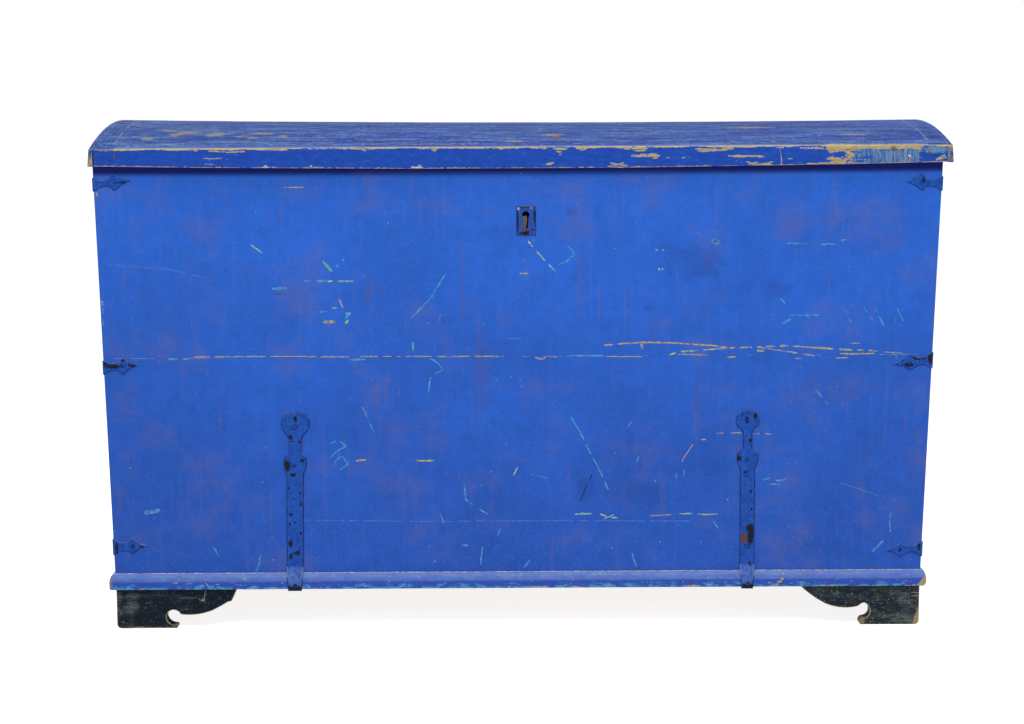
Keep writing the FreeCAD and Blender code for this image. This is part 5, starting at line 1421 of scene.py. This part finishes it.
class CHEST_OT_case(bpy.types.Operator):
    """Front, back and end boards of the case, and its bottom boards"""

    bl_idname = "chest.case"
    bl_label = "Case boards"

    def execute(self, context):
        edge = context.scene.chest_wear.board_round
        rounds = [
            (edge, at_rim), (0.0003, on_end_face), (0.0, on_long_face), (edge, on_corner),
            (edge * 0.35, on_seam),
        ]
        sides = (
            ("front_board_", "pine_long", lambda n, c: n.y > 0.5),
            ("back_board_", "pine_long", lambda n, c: n.y < -0.5),
            ("end_board_left_", "pine_deep", lambda n, c: n.x > 0.5),
            ("end_board_right_", "pine_deep", lambda n, c: n.x < -0.5),
        )
        for part in ("upper", "lower"):
            for side, inner, inside in sides:
                others = [(inner, inside)]
                if side + part == "front_board_upper":
                    # The keyhole's sides take painted shade.
                    others.append(("hollow_dark", in_keyhole))
                dressed(side + part, "case", "case_paint", "case_blue", "worn_edge", *rounds, others=others)
        for part in ("front", "middle", "rear"):
            dressed("bottom_board_" + part, "case", "bare_wood", "pine_long", "pine_long", (edge, None))
        return {"FINISHED"}


class CHEST_OT_plinth(bpy.types.Operator):
    """Plinth moulding along the front and returned on both ends"""

    bl_idname = "chest.plinth"
    bl_label = "Plinth moulding"

    def execute(self, context):
        wear = context.scene.chest_wear
        edge = wear.board_round
        for part in ("front", "left", "right"):
            node = "plinth_moulding_" + part
            piece = copied(node)
            if part != "left":
                knocked(piece, (MOULDING_RIGHT - wear.end_round, 0.0, BODY_BOTTOM), KNOCK_SLOPE)
            coated(piece, "moulding_blue")
            rounded(piece, (edge, None))
            finished(piece, "case", "case_paint", node)
        return {"FINISHED"}


class CHEST_OT_feet(bpy.types.Operator):
    """Bracket feet with their glue blocks"""

    bl_idname = "chest.feet"
    bl_label = "Bracket feet"

    def execute(self, context):
        edge = context.scene.chest_wear.foot_round
        rounds = [(edge, None), (0.0, at_foot_top)]
        for side in ("left", "right"):
            for part in ("front_bracket", "end_bracket_front", "end_bracket_rear", "rear_board"):
                node = "foot_%s_%s" % (side, part)
                dressed(node, "case", "foot_paint", "foot_black", "foot_edge", *rounds)
        fit_finish("foot_glue_blocks", "pine_tall")
        return {"FINISHED"}


class CHEST_OT_straps(bpy.types.Operator):
    """Two forged straps nailed up the front"""

    bl_idname = "chest.straps"
    bl_label = "Front straps"

    def execute(self, context):
        wear = context.scene.chest_wear
        for side in ("left", "right"):
            node = "strap_iron_" + side
            piece = copied(node)
            coated(piece, "strap_iron", "iron_edge")
            size = wear.iron_round * 1.4
            rounded(piece, (size, None), outward=lambda n: n.y < -0.2, shortest=SHORTEST_ROUND)
            sliced(piece, 2, 0.005)
            hammered(piece, wear.hammer)
            finished(piece, "case", "painted_iron", node)
        forged_nails("strap_nails", "case")
        return {"FINISHED"}


class CHEST_OT_corner_irons(bpy.types.Operator):
    """Three forged irons round each front corner"""

    bl_idname = "chest.corner_irons"
    bl_label = "Corner irons"

    def execute(self, context):
        wear = context.scene.chest_wear
        for side in ("left", "right"):
            for level in ("top", "middle", "bottom"):
                dressed(
                    "corner_iron_%s_%s" % (side, level), "case", "painted_iron", "corner_iron", "iron_edge",
                    (wear.iron_round, None), hammer=(wear.hammer * 0.6, 0.008),
                    outward=lambda n: n.y < -0.9 or abs(n.x) > 0.95, shortest=SHORTEST_ROUND,
                )
        forged_nails("corner_iron_nails", "case")
        return {"FINISHED"}


class CHEST_OT_lock(bpy.types.Operator):
    """Lock plate, its hanging tongue, and the lock inside"""

    bl_idname = "chest.lock"
    bl_label = "Lock"

    def execute(self, context):
        wear = context.scene.chest_wear
        # The keyhole's sides in the plate take painted shade.
        dressed(
            "escutcheon_plate", "case", "painted_iron", "plate_iron", "iron_edge", (wear.iron_round, None),
            others=[("hollow_dark", in_keyhole)], hammer=(wear.hammer * 0.5, 0.008),
            outward=lambda n: n.y < -0.9, shortest=SHORTEST_ROUND,
        )
        forged_nails("escutcheon_nails", "case", "plate_nail")
        self.tongue()
        for node, body in (("lock_case", "case"), ("lock_bolt", "bolt"), ("lid_staple", "lid")):
            dressed(node, body, "bare_iron", "dark_iron", None, (wear.iron_round * 0.8, None), clamp=True)
        forged_nails("lid_staple_nails", "lid")
        return {"FINISHED"}

    def tongue(self):
        """A thin tapered tongue hanging in the keyhole."""
        only()
        bpy.ops.mesh.primitive_cube_add(size=1.0, location=(0.0, 0.0, 0.0))
        tongue = bpy.context.object
        tongue.name = "keyhole_tongue"
        edit(tongue, "VERT")
        bpy.ops.mesh.select_all(action="SELECT")
        bpy.ops.transform.resize(value=TONGUE_SIZE)
        bpy.ops.transform.translate(value=(TONGUE_X, FRONT - 0.0004, TONGUE_Z))
        for at in list(TONGUE_TAPER)[1:-1]:
            cut_across(2, at)
        for at, (share, aside, forward) in TONGUE_TAPER.items():
            bpy.ops.mesh.select_all(action="DESELECT")
            shape = bmesh.from_edit_mesh(tongue.data)
            pick(shape, shape.verts, lambda corner: abs(corner.co.z - at) < CLOSE)
            bpy.ops.transform.resize(value=(share, 1.0, 1.0), center_override=(TONGUE_PIVOT, 0.0, at))
            bpy.ops.transform.translate(value=(aside, forward, 0.0))
        bpy.ops.object.mode_set(mode="OBJECT")
        coated(tongue, "tongue_iron")
        rounded(tongue, (0.0003, None))
        finished(tongue, "case", "bare_iron")


def at_front_top(spot):
    return spot.y < LID_FRONT + CLOSE and spot.z > RAIL_CREST


def at_front_low(spot):
    return spot.y < LID_FRONT + CLOSE and spot.z < RAIL_FOOT


def at_lid_corner(spot):
    """Top outer arris of the lid's right end moulding."""
    return spot.x > 0.6500 and spot.z > 0.7300


class CHEST_OT_lid(bpy.types.Operator):
    """Domed lid: its boards, clamps, front rail and end mouldings"""

    bl_idname = "chest.lid"
    bl_label = "Lid"

    def execute(self, context):
        wear = context.scene.chest_wear
        for part in ("front", "middle", "rear"):
            piece = copied("lid_board_" + part)
            coated(piece, "lid_blue", "lid_blue", [("pine_long", lambda n, c: n.z < -0.5)])
            rounded(piece, (0.0004, None))
            if part == "front":
                scribed(piece, 1, BEAD_FRONT, wear.bead)
            finished(piece, "lid", "lid_paint", "lid_board_" + part)
        for side, sign in (("left", -1), ("right", 1)):
            node = "lid_clamp_" + side
            piece = copied(node)
            front = ("rail_blue", lambda n, c: n.y < -0.25 and c.y < LID_FRONT + 0.003)
            under = ("pine_deep", lambda n, c: n.z < -0.5 or (n.x * sign < -0.5 and c.z < CLAMP_INSIDE))
            coated(piece, "lid_blue", "rail_blue", [under, front])
            rounded(piece, (wear.rail_round, at_front_top))
            scribed(piece, 1, BEAD_FRONT, wear.bead, lambda m: abs(m.x) < BEAD_END)
            scribed(piece, 0, sign * BEAD_OUTER, wear.bead)
            scribed(piece, 0, sign * BEAD_INNER, wear.bead * 0.7)
            finished(piece, "lid", "lid_paint", node)
            knocks = (wear.end_round * 0.8, at_lid_corner if sign > 0 else at_front_low)
            dressed(
                "lid_end_moulding_" + side, "lid", "lid_paint", "lid_edge", "lid_edge",
                (0.0012, None), knocks, others=[("lid_blue", lambda n, c: n.z > 0.8)],
            )
        dressed(
            "lid_front_rail", "lid", "lid_paint", "rail_blue", "rail_blue", (0.0004, None),
            (wear.rail_round, at_front_top), (wear.rail_round * 0.6, at_front_low),
            others=[("pine_long", lambda n, c: n.y > 0.5)],
        )
        return {"FINISHED"}


class CHEST_OT_hinges(bpy.types.Operator):
    """Two strap hinges at the back with their nails"""

    bl_idname = "chest.hinges"
    bl_label = "Hinges"

    def execute(self, context):
        edge = context.scene.chest_wear.iron_round
        for side in ("left", "right"):
            for part, body in (("case_leaf", "case"), ("lid_leaf", "lid"), ("pin", "case")):
                node = "hinge_%s_%s" % (side, part)
                dressed(node, body, "bare_iron", "dark_iron", None, (edge * 0.8, None), clamp=True)
        forged_nails("hinge_case_nails", "case", "dark_iron")
        forged_nails("hinge_lid_nails", "lid", "dark_iron")
        return {"FINISHED"}


class CHEST_OT_till(bpy.types.Operator):
    """Lidded till across the left end"""

    bl_idname = "chest.till"
    bl_label = "Till"

    def execute(self, context):
        edge = context.scene.chest_wear.board_round
        for node, body in (("till_wall", "case"), ("till_floor", "case"), ("till_lid", "till_cover")):
            dressed(node, body, "bare_wood", "pine_deep", None, (edge * 0.8, None))
        return {"FINISHED"}


class CHEST_OT_marks(bpy.types.Operator):
    """Scratches, chips and flakes on the front, the moulding and the lid's rail"""

    bl_idname = "chest.marks"
    bl_label = "Scratches and chips"

    def execute(self, context):
        for kind, marks in FRONT_MARKS.items():
            slivers("front_scratches_" + kind, "mark_" + kind, marks, FRONT, "case", "case_paint")
        for kind, marks in RAIL_MARKS.items():
            slivers("rail_chips_" + kind, "mark_" + kind, marks, LID_FRONT, "lid", "lid_paint", 0.03)
        slivers("moulding_chips", "mark_tan", MOULDING_MARKS, MOULDING_FRONT, "case", "case_paint", 0.03)
        slivers("foot_crack", "mark_crack", FOOT_MARKS, FRONT, "case", "foot_paint", 0.0)
        slivers("plate_run", "mark_black", PLATE_MARKS, PLATE_FRONT, "case", "painted_iron", 0.0)
        return {"FINISHED"}


class CHEST_OT_studio(bpy.types.Operator):
    """Pale floor, soft light and the camera"""

    bl_idname = "chest.studio"
    bl_label = "Studio"

    def execute(self, context):
        studio = context.scene.chest_studio
        self.floor(studio)
        self.surroundings(context, studio)
        self.lamp("key_light", Vector((0.15, -2.5, 2.9)), (2.4, 0.9), studio.key_power)
        self.lamp("top_light", Vector((-0.2, -0.9, 3.3)), (2.6, 1.6), studio.top_power)
        data = bpy.data.cameras.new("camera")
        data.sensor_fit = "HORIZONTAL"
        data.sensor_width = 36.0
        data.lens = studio.camera_lens
        camera = bpy.data.objects.new("camera", data)
        context.scene.collection.objects.link(camera)
        camera.matrix_world = (
            Matrix.Translation(studio.camera_place)
            @ Matrix.Rotation(math.radians(90) - studio.camera_dip, 4, "X")
            @ Matrix.Rotation(studio.camera_lean, 4, "Z")
        )
        context.scene.camera = camera
        context.scene.view_settings.view_transform = "Standard"
        return {"FINISHED"}

    def seen(self, tree):
        """One for rays from the camera, a mirror or glass, and nothing for the rest."""
        path = tree.nodes.new("ShaderNodeLightPath")
        total = path.outputs["Is Camera Ray"]
        for name in ("Is Glossy Ray", "Is Transmission Ray"):
            most = tree.nodes.new("ShaderNodeMath")
            most.operation = "MAXIMUM"
            tree.links.new(total, most.inputs[0])
            tree.links.new(path.outputs[name], most.inputs[1])
            total = most.outputs[0]
        return total

    def floor(self, studio):
        only()
        bpy.ops.mesh.primitive_plane_add(size=60.0, location=(0.0, 0.0, 0.0))
        floor = bpy.context.object
        floor.name = "floor"
        material = bpy.data.materials.new("floor_white")
        material.use_nodes = True
        tree = material.node_tree
        tree.nodes.clear()
        end = tree.nodes.new("ShaderNodeOutputMaterial")
        both = tree.nodes.new("ShaderNodeAddShader")
        matt = tree.nodes.new("ShaderNodeBsdfDiffuse")
        matt.inputs["Color"].default_value = (0.8, 0.8, 0.8, 1.0)
        glow = tree.nodes.new("ShaderNodeEmission")
        share = tree.nodes.new("ShaderNodeMath")
        share.operation = "MULTIPLY"
        share.inputs[1].default_value = studio.floor_glow
        tree.links.new(self.seen(tree), share.inputs[0])
        tree.links.new(share.outputs[0], glow.inputs["Strength"])
        tree.links.new(matt.outputs[0], both.inputs[0])
        tree.links.new(glow.outputs[0], both.inputs[1])
        tree.links.new(both.outputs[0], end.inputs["Surface"])
        floor.data.materials.append(material)

    def surroundings(self, context, studio):
        world = bpy.data.worlds.new("studio_white")
        context.scene.world = world
        world.use_nodes = True
        tree = world.node_tree
        back = tree.nodes["Background"]
        back.inputs["Color"].default_value = (1.0, 1.0, 1.0, 1.0)
        strength = tree.nodes.new("ShaderNodeMapRange")
        strength.inputs["To Min"].default_value = studio.fill
        strength.inputs["To Max"].default_value = 1.0
        tree.links.new(self.seen(tree), strength.inputs["Value"])
        tree.links.new(strength.outputs[0], back.inputs["Strength"])

    def lamp(self, name, place, size, power):
        data = bpy.data.lights.new(name, "AREA")
        data.shape = "RECTANGLE"
        data.size = size[0]
        data.size_y = size[1]
        data.energy = power
        lamp = bpy.data.objects.new(name, data)
        bpy.context.scene.collection.objects.link(lamp)
        aim = Vector((0.0, -0.2, 0.4)) - place
        lamp.matrix_world = Matrix.Translation(place) @ aim.to_track_quat("-Z", "Y").to_matrix().to_4x4()


class CHEST_PT_panel(bpy.types.Panel):
    """The chest's steps and settings"""

    bl_idname = "CHEST_PT_panel"
    bl_label = "Blanket chest"
    bl_space_type = "VIEW_3D"
    bl_region_type = "UI"
    bl_category = "Chest"

    def draw(self, context):
        layout = self.layout
        for step in STEPS:
            layout.operator(step.bl_idname)
        for title, group in (
            ("Paints", context.scene.chest_paints),
            ("Wear", context.scene.chest_wear),
            ("Studio", context.scene.chest_studio),
        ):
            box = layout.box()
            box.label(text=title)
            for name in group.__annotations__:
                box.prop(group, name)


STEPS = (
    CHEST_OT_case, CHEST_OT_plinth, CHEST_OT_feet, CHEST_OT_straps, CHEST_OT_corner_irons,
    CHEST_OT_lock, CHEST_OT_lid, CHEST_OT_hinges, CHEST_OT_till, CHEST_OT_marks, CHEST_OT_studio,
)
CLASSES = (ChestPaints, ChestWear, ChestStudio) + STEPS + (CHEST_PT_panel,)


def register():
    for each in CLASSES:
        bpy.utils.register_class(each)
    bpy.types.Scene.chest_paints = PointerProperty(type=ChestPaints)
    bpy.types.Scene.chest_wear = PointerProperty(type=ChestWear)
    bpy.types.Scene.chest_studio = PointerProperty(type=ChestStudio)


def unregister():
    del bpy.types.Scene.chest_studio
    del bpy.types.Scene.chest_wear
    del bpy.types.Scene.chest_paints
    for each in reversed(CLASSES):
        bpy.utils.unregister_class(each)


def main():
    register()
    for step in STEPS:
        group, name = step.bl_idname.split(".")
        getattr(getattr(bpy.ops, group), name)()
    only()


if __name__ == "__main__":
    main()
